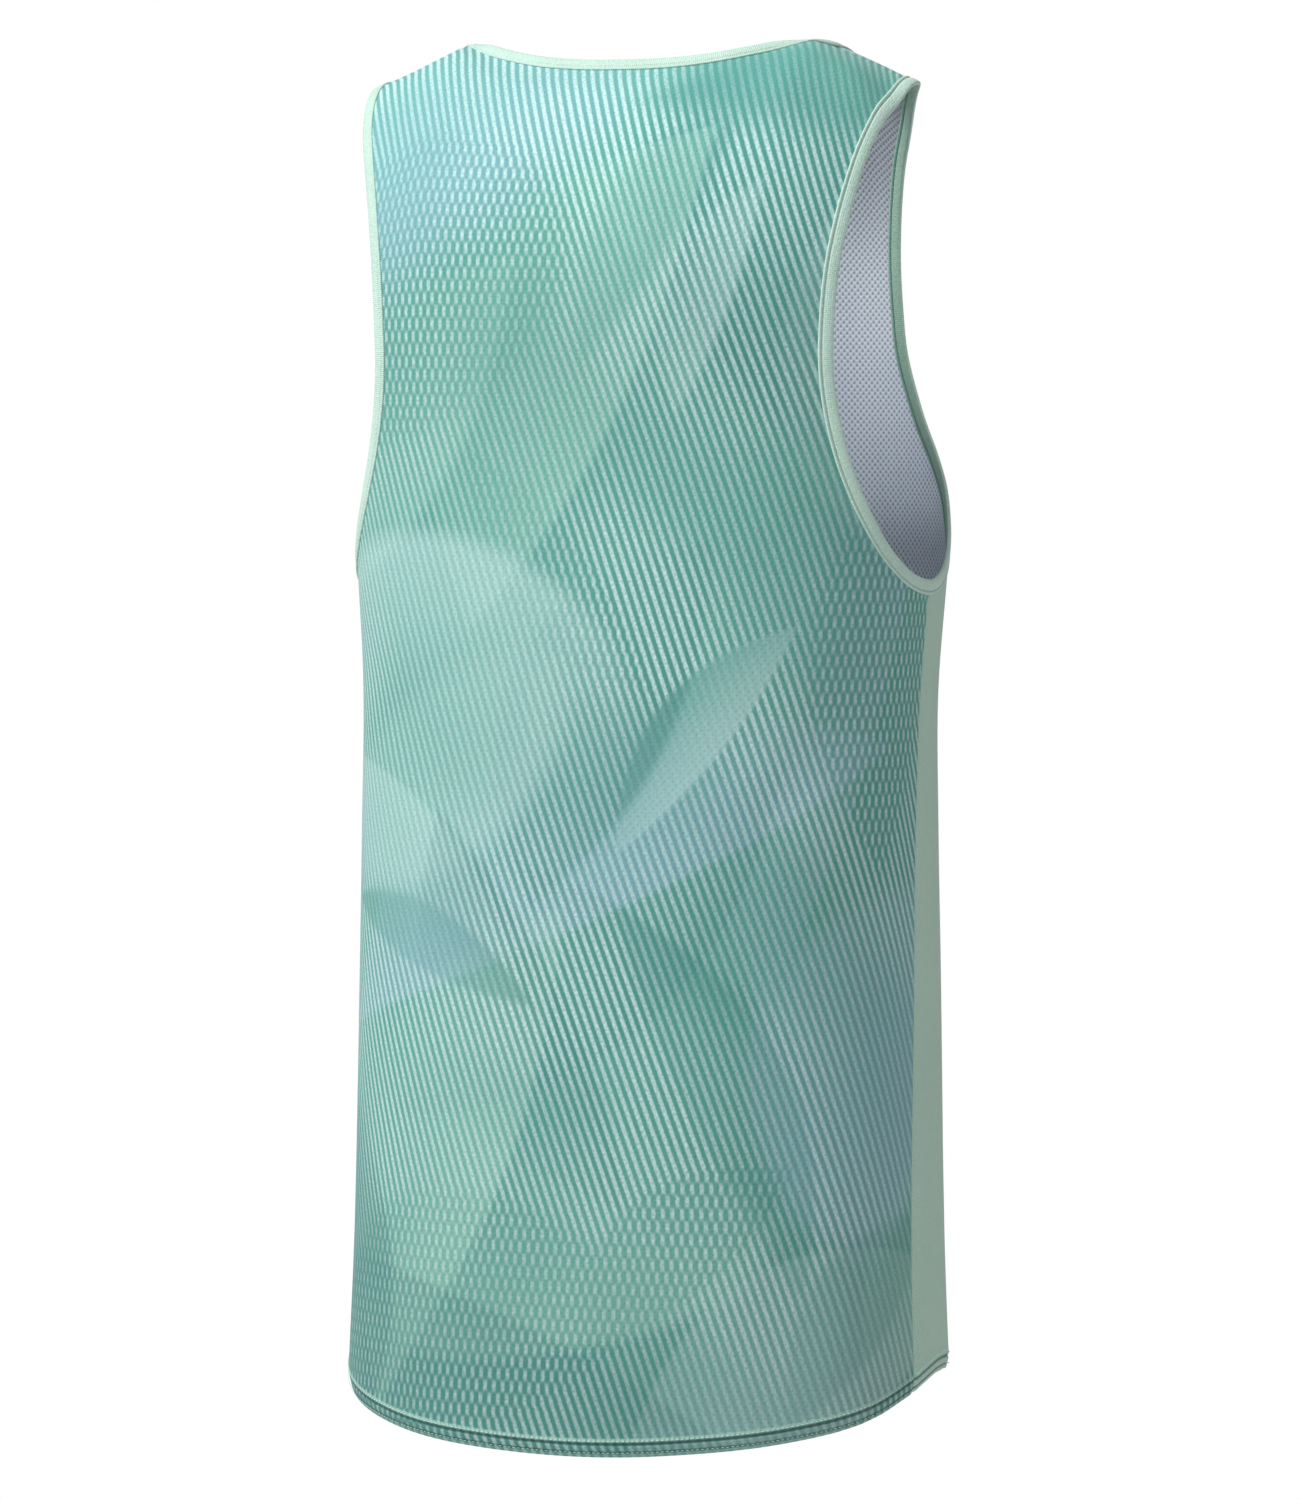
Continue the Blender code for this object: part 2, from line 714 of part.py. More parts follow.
def main():
    """Builds the seven pieces."""
    clear_scene()
    garment = Garment()
    build_panel(garment, "back_panel", BACK_TEAL)
    build_panel(garment, "front_panel", FRONT_TEAL)
    build_panel(garment, "side_panel_left", SAGE)
    build_panel(garment, "side_panel_right", SAGE)
    build_binding(garment, "neck_binding", on_neckline, MINT)
    build_binding(garment, "armhole_binding_left", on_armhole(1), MINT)
    build_binding(garment, "armhole_binding_right", on_armhole(-1), MINT)


main()
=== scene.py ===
"""Looks of a running singlet in its worn, filled-out shape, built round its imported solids.

The cloth lies on the same form as the solids do: round sections of a general figure below the
arms, closed over the shoulders by a quarter turn. A place on the form is a share of the way from
the centre line to the side, and a rise up the cloth. Panels are thin shells on a fine grid of such
places, bindings are folded strips lofted along the raw edges, and threads are rows of stitches.
"""

import logging
import math
from dataclasses import dataclass
from enum import Enum
from typing import Any, Callable, NamedTuple, Sequence

import bmesh
import bpy
import numpy as np
from bpy.types import Material, Mesh, Node, NodeSocket, NodeTree, Object, bpy_prop_collection
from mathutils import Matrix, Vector


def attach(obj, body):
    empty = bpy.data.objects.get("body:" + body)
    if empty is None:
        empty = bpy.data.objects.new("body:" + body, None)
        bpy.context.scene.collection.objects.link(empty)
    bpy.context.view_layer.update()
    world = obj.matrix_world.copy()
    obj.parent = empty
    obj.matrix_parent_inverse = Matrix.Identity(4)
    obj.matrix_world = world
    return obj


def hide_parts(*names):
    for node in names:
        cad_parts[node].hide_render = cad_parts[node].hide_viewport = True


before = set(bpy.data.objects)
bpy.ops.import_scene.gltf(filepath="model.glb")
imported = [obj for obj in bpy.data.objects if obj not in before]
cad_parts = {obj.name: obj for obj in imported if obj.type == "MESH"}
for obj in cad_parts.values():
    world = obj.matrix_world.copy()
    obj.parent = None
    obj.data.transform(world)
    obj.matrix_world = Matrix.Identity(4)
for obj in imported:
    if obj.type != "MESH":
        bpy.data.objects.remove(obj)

LOG = logging.getLogger("singlet")
Array = np.ndarray
BODY = "root"
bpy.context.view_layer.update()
MM = 0.001


class Section(NamedTuple):
    """Level cut through the form."""

    height: float
    half_width: float
    depth_behind: float
    depth_in_front: float
    squareness: float


class EdgePlace(NamedTuple):
    """Place on an armhole edge: its height, and the cloth between it and the centre line."""

    height: float
    across: float


class SeamPlace(NamedTuple):
    """Width of the side panel at a height, behind and in front of the middle of the side."""

    height: float
    behind: float
    in_front: float


class HemPlace(NamedTuple):
    """Height of the hem, by quarter turns round the body from the centre of the back."""

    around: float
    height: float


class Fold(NamedTuple):
    """Soft fold that starts at its top and is full at the hem, placed by quarter turns."""

    place: float
    width: float
    top: float
    depth: float


class Crease(NamedTuple):
    """Faint trough or ridge on a panel, from one place to another, in metres of cloth."""

    start: tuple[float, float]
    end: tuple[float, float]
    width: float
    depth: float


SECTIONS = (
    Section(-0.740, 0.1612, 0.1210, 0.1130, 2.30),
    Section(-0.610, 0.1572, 0.1140, 0.1075, 2.32),
    Section(-0.480, 0.1545, 0.1120, 0.1045, 2.35),
    Section(-0.400, 0.1526, 0.1125, 0.1040, 2.38),
    Section(-0.330, 0.1518, 0.1090, 0.1065, 2.42),
    Section(-0.260, 0.1560, 0.1010, 0.1145, 2.50),
    Section(-0.200, 0.1590, 0.0970, 0.1170, 2.55),
    Section(-0.140, 0.1600, 0.0980, 0.1120, 2.60),
    Section(0.010, 0.1600, 0.0950, 0.0980, 2.60),
)

BACK_ARMHOLE = (
    EdgePlace(-0.034, 0.1504),
    EdgePlace(-0.057, 0.1431),
    EdgePlace(-0.084, 0.1370),
    EdgePlace(-0.110, 0.1324),
    EdgePlace(-0.136, 0.1301),
    EdgePlace(-0.162, 0.1297),
    EdgePlace(-0.188, 0.1332),
    EdgePlace(-0.213, 0.1408),
    EdgePlace(-0.236, 0.1525),
    EdgePlace(-0.252, 0.1645),
    EdgePlace(-0.263, 0.1785),
)

FRONT_ARMHOLE = (
    EdgePlace(-0.034, 0.1292),
    EdgePlace(-0.062, 0.1168),
    EdgePlace(-0.086, 0.1119),
    EdgePlace(-0.110, 0.1101),
    EdgePlace(-0.132, 0.1110),
    EdgePlace(-0.152, 0.1135),
    EdgePlace(-0.171, 0.1198),
    EdgePlace(-0.190, 0.1292),
    EdgePlace(-0.208, 0.1430),
    EdgePlace(-0.226, 0.1585),
    EdgePlace(-0.242, 0.1710),
    EdgePlace(-0.2555, 0.1850),
    EdgePlace(-0.2655, 0.2000),
)

SIDE_SEAMS = (
    SeamPlace(-0.740, 0.0315, 0.046),
    SeamPlace(-0.600, 0.0278, 0.042),
    SeamPlace(-0.500, 0.0215, 0.040),
    SeamPlace(-0.400, 0.0145, 0.038),
    SeamPlace(-0.340, 0.0075, 0.039),
    SeamPlace(-0.300, 0.0040, 0.041),
    SeamPlace(-0.270, 0.0035, 0.042),
)

HEM = (
    HemPlace(0.0, -0.7186),
    HemPlace(0.25, -0.7162),
    HemPlace(0.5, -0.7098),
    HemPlace(0.7, -0.7010),
    HemPlace(0.85, -0.6905),
    HemPlace(1.0, -0.6830),
    HemPlace(1.2, -0.6858),
    HemPlace(1.5, -0.6950),
    HemPlace(2.0, -0.7020),
)

FOLDS = (
    Fold(0.78, 0.12, -0.42, 0.0008),
    Fold(0.34, 0.16, -0.46, 0.0020),
    Fold(-0.28, 0.12, -0.50, -0.0016),
    Fold(-0.66, 0.14, -0.40, 0.0014),
    Fold(1.34, 0.15, -0.40, 0.0026),
    Fold(1.72, 0.14, -0.46, -0.0018),
    Fold(-1.66, 0.16, -0.48, 0.0020),
    Fold(-1.30, 0.13, -0.42, -0.0024),
)
FOLD_FULL_Z = -0.74

# Coarse grid of the solids: columns from the centre line to the middle of the side, and rows.
NECK_COLUMN = 5
ARM_COLUMN = NECK_COLUMN + 4
SEAM_COLUMN = ARM_COLUMN + 5
SIDE_COLUMN = SEAM_COLUMN + 3
HEM_ROW = 2
ARM_ROW = HEM_ROW + 16
TOP_ROW = ARM_ROW + 16
RELAXING_PASSES = 2500


class Face(Enum):
    """Half of the garment, behind or in front of the shoulder line."""

    BACK = "back"
    FRONT = "front"

    @property
    def neck_row(self) -> int:
        """Row of the coarse grid where the neckline crosses the centre line."""
        return TOP_ROW - (3 if self is Face.BACK else 7)

    @property
    def armhole(self) -> tuple[EdgePlace, ...]:
        """Places on the armhole edge of this face."""
        return BACK_ARMHOLE if self is Face.BACK else FRONT_ARMHOLE

    @property
    def armhole_turn(self) -> float:
        """Height where the armhole edge turns from upright to level."""
        return -0.226 if self is Face.BACK else -0.206

    @property
    def outward(self) -> int:
        """Sign of y on this face."""
        return 1 if self is Face.BACK else -1


def smooth_columns(rows: Sequence[tuple], heights: Array) -> Array:
    """Interpolates a table on smooth curves that are level at its ends.

    Args:
        rows: Rows whose first column is the height or place.
        heights: Places to read the table at.

    Returns:
        The other columns, a row for each height.
    """
    table = np.array(rows)
    stops, values = table[:, 0], table[:, 1:]
    slopes = np.gradient(values, stops, axis=0)
    slopes[[0, -1]] = 0
    heights = np.clip(heights, stops[0], stops[-1])
    low = np.clip(np.searchsorted(stops, heights, side="right") - 1, 0, len(stops) - 2)
    span = (stops[low + 1] - stops[low])[:, None]
    t = (heights - stops[low])[:, None] / span
    return (
        values[low] * (1 + 2 * t) * (1 - t) ** 2
        + values[low + 1] * t**2 * (3 - 2 * t)
        + slopes[low] * span * t * (1 - t) ** 2
        - slopes[low + 1] * span * t**2 * (1 - t)
    )


def eased(t: Array) -> Array:
    """0 to 1, level at both ends."""
    t = np.clip(t, 0, 1)
    return t * t * (3 - 2 * t)


def unit(vectors: Array) -> Array:
    """The vectors at length 1."""
    return vectors / np.maximum(np.linalg.norm(vectors, axis=-1, keepdims=True), 1e-12)


def bump(distance: Array, width: float) -> Array:
    """Bell curve of a distance, 1 where it is 0."""
    return np.exp(-((distance / width) ** 2))


def run_up(steps: Array | Sequence[float]) -> Array:
    """Distance along a line at each of its points, from the lengths of its steps."""
    return np.concatenate([[0], np.cumsum(steps)])


def read_along(stops: Array | Sequence[float], along: Array, rows: Array) -> Array:
    """Rows at some stops along a line, straight between those that it has."""
    return np.stack([np.interp(stops, along, column) for column in rows.T], axis=1)


@dataclass(frozen=True)
class Form:
    """Round form that the cloth lies on, and the cut lines on it."""

    strap_tip_x: float = 0.1462
    strap_tip_z: float = -0.0130
    neck_point_x: float = 0.0960
    neck_point_z: float = 0.0088
    neck_hollow: float = 0.005
    front_neck_drop: float = 0.098
    back_neck_depth: float = 0.0460
    back_neck_flatness: float = 3
    back_neck_roundness: float = 0.78
    yoke_base: float = -0.150
    yoke_reach: float = 0.150
    yoke_squareness: float = 2.8
    shoulder_start: float = 0.4
    shoulder_span: float = 0.4
    strap_droop_behind: float = 0.0062
    strap_droop_in_front: float = 0.0012
    strap_drape_start: float = 0.120
    left_strap_reach: float = 0.0030
    strap_droop_place: float = 0.025
    strap_droop_spread: float = 0.0165
    nape_stand: float = 0.0021
    nape_dip: float = 0.0018
    nape_edge_spread: float = 0.0055
    nape_dip_place: float = 0.0115
    nape_dip_spread: float = 0.0080
    nape_fade: float = 0.22
    armhole_bottom: float = -0.2707
    binding_width: float = 0.0080
    quarter_girth: float = 0.24
    section_samples: int = 96
    line_samples: int = 24
    neck_samples: int = 192
    edge_passes: int = 6
    nape_passes: int = 4
    step_in: float = 0.0014
    nudge: float = 1e-4

    @property
    def top_rise(self) -> float:
        """Rise of the shoulder line."""
        return self.yoke_base + self.yoke_reach * math.pi / 2

    def shoulder_height(self, x: Array) -> Array:
        """Height of the shoulder line, which dips inside the neck.

        Args:
            x: Distance from the middle plane.

        Returns:
            Height at each place.
        """
        across = np.clip((self.strap_tip_x - x) / (self.strap_tip_x - self.neck_point_x), 0, 1)
        strap = self.strap_tip_z + (self.neck_point_z - self.strap_tip_z) * across
        return strap - self.neck_hollow * (1 - np.minimum(x / self.neck_point_x, 1) ** 2)

    def section_curves(self, face: Face, heights: Array) -> tuple[Array, ...]:
        """Quarter sections at these heights.

        Args:
            face: Half of the garment.
            heights: Heights of the sections.

        Returns:
            x, y and the cloth from the centre line, with a row for each height.
        """
        half_width, behind, in_front, power = smooth_columns(SECTIONS, heights).T[:, :, None]
        depth = behind if face is Face.BACK else in_front
        turn = np.linspace(0, math.pi / 2, self.section_samples)[None, :]
        reach = (np.sin(turn) / half_width) ** power + (np.cos(turn) / depth) ** power
        reach = reach ** (-1 / power)
        x, y = reach * np.sin(turn), reach * np.cos(turn)
        steps = np.hypot(np.diff(x), np.diff(y))
        cloth = np.concatenate([np.zeros((len(x), 1)), np.cumsum(steps, axis=1)], axis=1)
        return x, y, cloth

    def yoke_turn(self, rise: Array) -> tuple[Array, Array]:
        """Shares of the way up to the shoulder line and of the depth left, on the turn over it.

        Args:
            rise: Rise up the cloth, for each point.

        Returns:
            The two shares of each point.
        """
        turn = np.maximum(rise - self.yoke_base, 0) / self.yoke_reach
        up, out = np.sin(turn), np.cos(turn)
        power = self.yoke_squareness
        reach = (up**power + np.abs(out) ** power) ** (-1 / power)
        return up * reach, out * reach

    def section_height(self, rise: Array) -> Array:
        """Height of the section that the form has at this rise."""
        turned = self.yoke_base + self.yoke_reach * self.yoke_turn(rise)[0]
        return np.where(rise > self.yoke_base, turned, rise)

    def fold_lift(self, face: Face, hand: Array, share: Array, z: Array) -> Array:
        """How far the folds move the cloth out of the plain form.

        Args:
            face: Half of the garment.
            hand: 1 towards +X and -1 towards -X, for each point.
            share: Share of the way from the centre line to the side.
            z: Height of each point.

        Returns:
            Distance outwards, for each point.
        """
        around = hand * share if face is Face.BACK else hand * (2 - share)
        lift = np.zeros(len(share))
        for fold in FOLDS:
            off = (around - fold.place + 2) % 4 - 2
            lift += fold.depth * bump(off, fold.width) * eased((fold.top - z) / (fold.top - FOLD_FULL_Z))
        return lift

    def strap_drape(self, face: Face, hand: Array, x: Array, y: Array) -> tuple[Array, ...]:
        """How far out the left strap's outer edge reaches, and how far down the right one's hangs.

        Args:
            face: Half of the garment.
            hand: 1 towards +X and -1 towards -X, for each point.
            x: Distance from the middle plane.
            y: Distance from the plane of the shoulder line.

        Returns:
            Distances outwards and downwards of each point.
        """
        beside = eased((x - self.strap_drape_start) / (self.strap_tip_x - self.strap_drape_start))
        droop = self.strap_droop_behind if face is Face.BACK else self.strap_droop_in_front
        near = bump(y - self.strap_droop_place, self.strap_droop_spread)
        return (hand > 0) * beside * self.left_strap_reach, (hand < 0) * beside * near * droop

    def nape_depth(self, x: Array) -> Array:
        """How far behind the shoulder line the back neckline runs."""
        across = np.minimum(x / self.neck_point_x, 1)
        return self.back_neck_depth * (1 - across**self.back_neck_flatness) ** self.back_neck_roundness

    def nape_lift(self, x: Array, y: Array) -> Array:
        """How the neck's edge stands up at the nape, with a dip in the cloth under its binding.

        Args:
            x: Distance from the middle plane.
            y: Distance behind the shoulder line.

        Returns:
            Distance upwards of each point.
        """
        below = y - self.nape_depth(x)
        stand = self.nape_stand * bump(below, self.nape_edge_spread)
        dip = self.nape_dip * bump(below - self.nape_dip_place, self.nape_dip_spread)
        return (stand - dip) * eased((self.neck_point_x - x) / (self.nape_fade * self.neck_point_x))

    def points(self, face: Face, hand: Array, share: Array, rise: Array) -> Array:
        """Points of the form.

        Args:
            face: Half of the garment.
            hand: 1 towards +X and -1 towards -X, for each point.
            share: Share of the way from the centre line to the side.
            rise: Rise up the cloth.

        Returns:
            A row of x, y and z for each point.
        """
        x, y, cloth = self.section_curves(face, self.section_height(rise))
        wanted = np.clip(share, 0, 1) * cloth[:, -1]
        px = np.array([np.interp(w, s, v) for w, s, v in zip(wanted, cloth, x)])
        py = np.array([np.interp(w, s, v) for w, s, v in zip(wanted, cloth, y)])
        up, out = self.yoke_turn(rise)
        turned = self.yoke_base + (self.shoulder_height(px) - self.yoke_base) * up
        over = eased((up - self.shoulder_start) / self.shoulder_span)
        reach, droop = self.strap_drape(face, hand, px, py * out)
        pz = np.where(rise > self.yoke_base, turned, rise) - droop * over
        if face is Face.BACK:
            pz = pz + self.nape_lift(px, py * out) * over
        grown = 1 + self.fold_lift(face, hand, share, pz) / np.hypot(px, py)
        return np.stack([(px + reach * over) * hand * grown, py * face.outward * out * grown, pz], axis=1)

    def tangents(self, face: Face, hand: Array, share: Array, rise: Array) -> tuple[Array, ...]:
        """Points of the form, and how they move over it.

        Args:
            face: Half of the garment.
            hand: 1 towards +X and -1 towards -X, for each point.
            share: Share of the way from the centre line to the side.
            rise: Rise up the cloth.

        Returns:
            The points, and their moves by share and by rise.
        """
        beside = np.where(share < 0.5, self.nudge, -self.nudge)
        here = self.points(face, hand, share, rise)
        across = (self.points(face, hand, share + beside, rise) - here) / beside[:, None]
        up = (here - self.points(face, hand, share, rise - self.nudge)) / self.nudge
        return here, across, up

    def surface(self, face: Face, hand: int, knots: Array) -> tuple[Array, Array]:
        """Points and outward normals of the form at any array of knots.

        Args:
            face: Half of the garment.
            hand: 1 towards +X and -1 towards -X.
            knots: Share and rise of each knot, in the last axis.

        Returns:
            Points and normals, of the knots' shape with 3 in the last axis.
        """
        share, rise = knots.reshape(-1, 2).T
        here, across, up = self.tangents(face, np.full(len(share), hand), share, rise)
        normals = unit(np.cross(across, up)) * (-face.outward * hand)
        shape = (*knots.shape[:-1], 3)
        return here.reshape(shape), normals.reshape(shape)

    def girth(self, face: Face, rise: Array) -> Array:
        """Cloth from the centre line to the middle of the side, at any array of rises."""
        sections = self.section_curves(face, self.section_height(rise.ravel()))
        return sections[2][:, -1].reshape(rise.shape)

    def level_curve(self, face: Face, rise: float) -> tuple[Array, ...]:
        """x, y and the cloth from the centre line, round the form at one rise."""
        return tuple(v[0] for v in self.section_curves(face, self.section_height(np.array([rise]))))

    def other_share(self, share: float) -> float:
        """Share of the depth left on the turn over the shoulder, from that of the way up, or back."""
        return (1 - share**self.yoke_squareness) ** (1 / self.yoke_squareness)

    def rise_at(self, x: float, z: float) -> float:
        """Rise of the form's point with this x and z.

        Args:
            x: Distance from the middle plane.
            z: Height.

        Returns:
            Rise up the cloth.
        """
        up = min((z - self.yoke_base) / (self.shoulder_height(x) - self.yoke_base), 1)
        if up <= 0:
            return z
        return self.yoke_base + self.yoke_reach * math.atan2(up, self.other_share(up))

    def knot_at(self, face: Face, x: float, z: float) -> Array:
        """Knot of the form's point with this x and z.

        Args:
            face: Half of the garment.
            x: Distance from the middle plane.
            z: Height.

        Returns:
            Share and rise of the knot.
        """
        rise = self.rise_at(x, z)
        xs, _, cloth = self.level_curve(face, rise)
        return np.array([np.interp(x, xs, cloth) / cloth[-1], rise])

    def knot_across(self, face: Face, place: EdgePlace) -> Array:
        """Finds a place on an armhole edge, whose height fixes its rise only by its x.

        Args:
            face: Half of the garment.
            place: Height of the place and the cloth between it and the centre line.

        Returns:
            Its knot.
        """
        rise = place.height
        for _ in range(self.edge_passes):
            xs, _, cloth = self.level_curve(face, rise)
            rise = self.rise_at(float(np.interp(place.across, cloth, xs)), place.height)
        return np.array([place.across / cloth[-1], rise])

    def knot_behind(self, x: float, y: float) -> Array:
        """Finds the form's point with this x and y, behind the shoulder line.

        Args:
            x: Distance from the middle.
            y: Distance behind the shoulder line.

        Returns:
            Its knot.
        """
        rise = self.top_rise
        for _ in range(self.nape_passes):
            xs, ys, cloth = self.level_curve(Face.BACK, rise)
            out = y / float(np.interp(x, xs, ys))
            rise = self.yoke_base + self.yoke_reach * math.atan2(self.other_share(out), out)
        return np.array([np.interp(x, xs, cloth) / cloth[-1], rise])

    def armhole_line(self, face: Face) -> Array:
        """Draws the armhole edge on smooth curves through its places.

        Args:
            face: Half of the garment.

        Returns:
            Knots along it, from the strap tip to the middle of the side.
        """
        places = [self.knot_across(face, place) for place in face.armhole]
        tip = self.knot_at(face, self.strap_tip_x, self.strap_tip_z)
        knots = np.array([tip, *places, (1.0, self.armhole_bottom)])
        over_shoulder = knots[1] * [1, -1] + [0, 2 * knots[0, 1]]
        past_side = knots[-2] * [-1, 1] + [2, 0]
        ends = np.vstack([over_shoulder, knots, past_side])
        steps = np.linalg.norm(np.diff(ends, axis=0) * [self.quarter_girth, 1], axis=1)
        along = run_up(steps)
        stops = np.linspace(along[1], along[-2], self.line_samples * len(knots))
        return smooth_columns(np.column_stack([along, ends]), stops)

    def neck_line(self, face: Face) -> Array:
        """Draws the neckline, by its depth behind or its drop in front.

        Args:
            face: Half of the garment.

        Returns:
            Knots along it, from the neck point to the centre.
        """
        line = []
        for turn in np.linspace(math.pi / 2, 0, self.neck_samples):
            x = self.neck_point_x * math.sin(turn)
            if face is Face.FRONT:
                z = self.neck_point_z - self.front_neck_drop * math.cos(turn)
                line.append(self.knot_at(face, x, z))
            else:
                line.append(self.knot_behind(x, float(self.nape_depth(x))))
        return np.array(line)

    def length_along(self, face: Face, line: Array) -> Array:
        """Length of cloth from the start of a line to each of its knots."""
        points = self.points(face, np.ones(len(line)), line[:, 0], line[:, 1])
        return run_up(np.linalg.norm(np.diff(points, axis=0), axis=1))

    def evenly(self, face: Face, line: Array, cells: int) -> Array:
        """Knots that part a line into equal lengths of cloth."""
        along = self.length_along(face, line)
        return read_along(np.linspace(0, along[-1], cells + 1), along, line)

    def stepped_in(self, face: Face, knots: Array, headings: Array, distance: float) -> Array:
        """Steps from a line into the cloth beside it, square to the line on the round form.

        Args:
            face: Half of the garment.
            knots: Knots along the line.
            headings: Direction of the line at each knot. The cloth is on its left.
            distance: How far to go along the cloth, in short steps.

        Returns:
            The knots that are reached.
        """
        knots = knots.copy()
        ahead, climb = headings.T
        steps = max(1, math.ceil(distance / self.step_in))
        for _ in range(steps):
            _, across, up = self.tangents(face, np.ones(len(knots)), *knots.T)
            aa, au, uu = (across**2).sum(1), (across * up).sum(1), (up**2).sum(1)
            share = -(au * ahead + uu * climb)
            rise = aa * ahead + au * climb
            length = np.sqrt(aa * share**2 + 2 * au * share * rise + uu * rise**2)
            knots += np.stack([share, rise], axis=1) * (distance / steps / length)[:, None]
        return knots

    def seam_share(self, face: Face, rise: Array) -> Array:
        """Place of the side seam at any array of rises.

        Args:
            face: Half of the garment.
            rise: Rises up the cloth.

        Returns:
            Share of the way to the side at each.
        """
        behind, in_front = smooth_columns(SIDE_SEAMS, rise.ravel()).T
        half = behind if face is Face.BACK else in_front
        return 1 - half.reshape(rise.shape) / self.girth(face, rise)

    def hem_height(self, face: Face, share: Array) -> Array:
        """Height of the hem's edge at any array of shares."""
        around = share if face is Face.BACK else 2 - share
        return smooth_columns(HEM, around.ravel())[:, 0].reshape(share.shape)


FORM = Form()


@dataclass(frozen=True)
class CoarseGrid:
    """Knots of a half of one face, where the solids have them."""

    face: Face
    hem_height: float = 0.0085
    hem_step: float = 0.0012
    tuck: float = 0.25

    def has_knot(self, column: int, row: int) -> bool:
        """Whether the cloth reaches this place of the grid.

        Args:
            column: Column of the place.
            row: Row of the place.

        Returns:
            True where it does.
        """
        if column > ARM_COLUMN:
            return row <= ARM_ROW
        return row <= (TOP_ROW if column >= NECK_COLUMN else self.face.neck_row)

    def has_cell(self, column: int, row: int) -> bool:
        """Whether the cloth fills the cell above and beside this place of the grid."""
        corners = ((column, row), (column + 1, row), (column, row + 1), (column + 1, row + 1))
        return all(c <= SIDE_COLUMN and r <= TOP_ROW and self.has_knot(c, r) for c, r in corners)

    def knots(self) -> Array:
        """Share and rise of every knot. Those with no set place settle between their neighbours.

        Returns:
            Share and rise in the last axis, by column and row.
        """
        pins = self.pinned()
        grid = np.zeros((SIDE_COLUMN + 1, TOP_ROW + 1, 2))
        free = np.zeros(grid.shape, bool)
        for column in range(SIDE_COLUMN + 1):
            for row in range(TOP_ROW + 1):
                if (column, row) in pins:
                    grid[column, row] = pins[column, row]
                elif self.has_knot(column, row):
                    free[column, row] = True
                    ceiling = min(above for at, above in pins if at == column and above > row)
                    climb = (row - HEM_ROW) / (ceiling - HEM_ROW)
                    low, high = pins[column, HEM_ROW], pins[column, ceiling]
                    grid[column, row] = low * (1 - climb) + high * climb
        for _ in range(RELAXING_PASSES):
            west, east = np.roll(grid, 1, axis=0), np.roll(grid, -1, axis=0)
            west[0] = grid[1] * [-1, 1]
            beneath, above = np.roll(grid, 1, axis=1), np.roll(grid, -1, axis=1)
            grid = np.where(free, (west + east + beneath + above) / 4, grid)
        return grid

    def pinned(self) -> dict[tuple[int, int], Array]:
        """Knots that have a set place, by column and row.

        Returns:
            Share and rise of each.
        """
        pins: dict[tuple[int, int], Array] = {}
        face, neck_row = self.face, self.face.neck_row
        arm_line = FORM.armhole_line(face)
        bottom_share = float(FORM.seam_share(face, np.array(FORM.armhole_bottom)))
        turn = int(np.argmin(np.abs(arm_line[:, 1] - face.armhole_turn)))
        seam = int(np.argmin(np.abs(arm_line[:, 0] - bottom_share)))
        stretches = (
            (arm_line[: turn + 1], TOP_ROW - ARM_ROW),
            (arm_line[turn : seam + 1], SEAM_COLUMN - ARM_COLUMN),
            (arm_line[seam:], SIDE_COLUMN - SEAM_COLUMN),
        )
        parts = [FORM.evenly(face, line, cells) for line, cells in stretches]
        arm = np.vstack([parts[0], parts[1][1:], parts[2][1:]])
        neck = FORM.evenly(face, FORM.neck_line(face), TOP_ROW - neck_row + NECK_COLUMN)
        for k, knot in enumerate(self.strap_knots()):
            pins[ARM_COLUMN - k, TOP_ROW] = knot
        self.pin_ring(pins, arm, (ARM_COLUMN, ARM_ROW), -1)
        self.pin_ring(pins, neck, (NECK_COLUMN, neck_row), 1)
        self.pin_hem_and_side(pins)
        return pins

    def strap_knots(self) -> Array:
        """Knots of the shoulder line from the strap tip to the neck point.

        Returns:
            Share and rise of each knot.
        """
        places = np.linspace(FORM.strap_tip_x, FORM.neck_point_x, FORM.line_samples)
        line = np.array([FORM.knot_at(self.face, x, FORM.shoulder_height(x)) for x in places])
        along = FORM.length_along(self.face, line)
        width = FORM.binding_width
        inner = np.linspace(width, along[-1] - width, ARM_COLUMN - NECK_COLUMN - 1)
        tucked = self.tuck * width
        return read_along([tucked, *inner, along[-1] - tucked], along, line)

    def pin_ring(self, pins: dict, edge: Array, corner: tuple[int, int], inward: int) -> None:
        """Pins the knots a binding's width inside a raw edge, and tucks the edge into the binding.

        Args:
            pins: Knots set so far.
            edge: Knots down a column to the corner and then along its row.
            corner: Column and row where the edge turns.
            inward: Column step from the edge into the cloth.
        """
        column, row = corner
        turn = TOP_ROW - row
        ahead = np.vstack([edge[1:], 2 * edge[-1] - edge[-2]])
        behind = np.vstack([edge[:1], edge[:-1]])
        inside = FORM.stepped_in(self.face, edge, (behind - ahead) * -inward, FORM.binding_width)
        tucked = edge + (inside - edge) * self.tuck
        for k in range(1, turn):
            pins[column + inward, TOP_ROW - k] = inside[k]
            pins[column, TOP_ROW - k] = tucked[k]
        pins[column + inward, row - 1] = inside[turn]
        pins[column, row] = tucked[turn]
        for k in range(turn + 1, len(edge)):
            pins[column - inward * (k - turn), row - 1] = inside[k]
            pins[column - inward * (k - turn), row] = tucked[k]
        pins[column + inward, row] = (2 * inside[turn] + inside[turn - 1]) / 3
        pins[column, row - 1] = (2 * inside[turn] + inside[turn + 1]) / 3

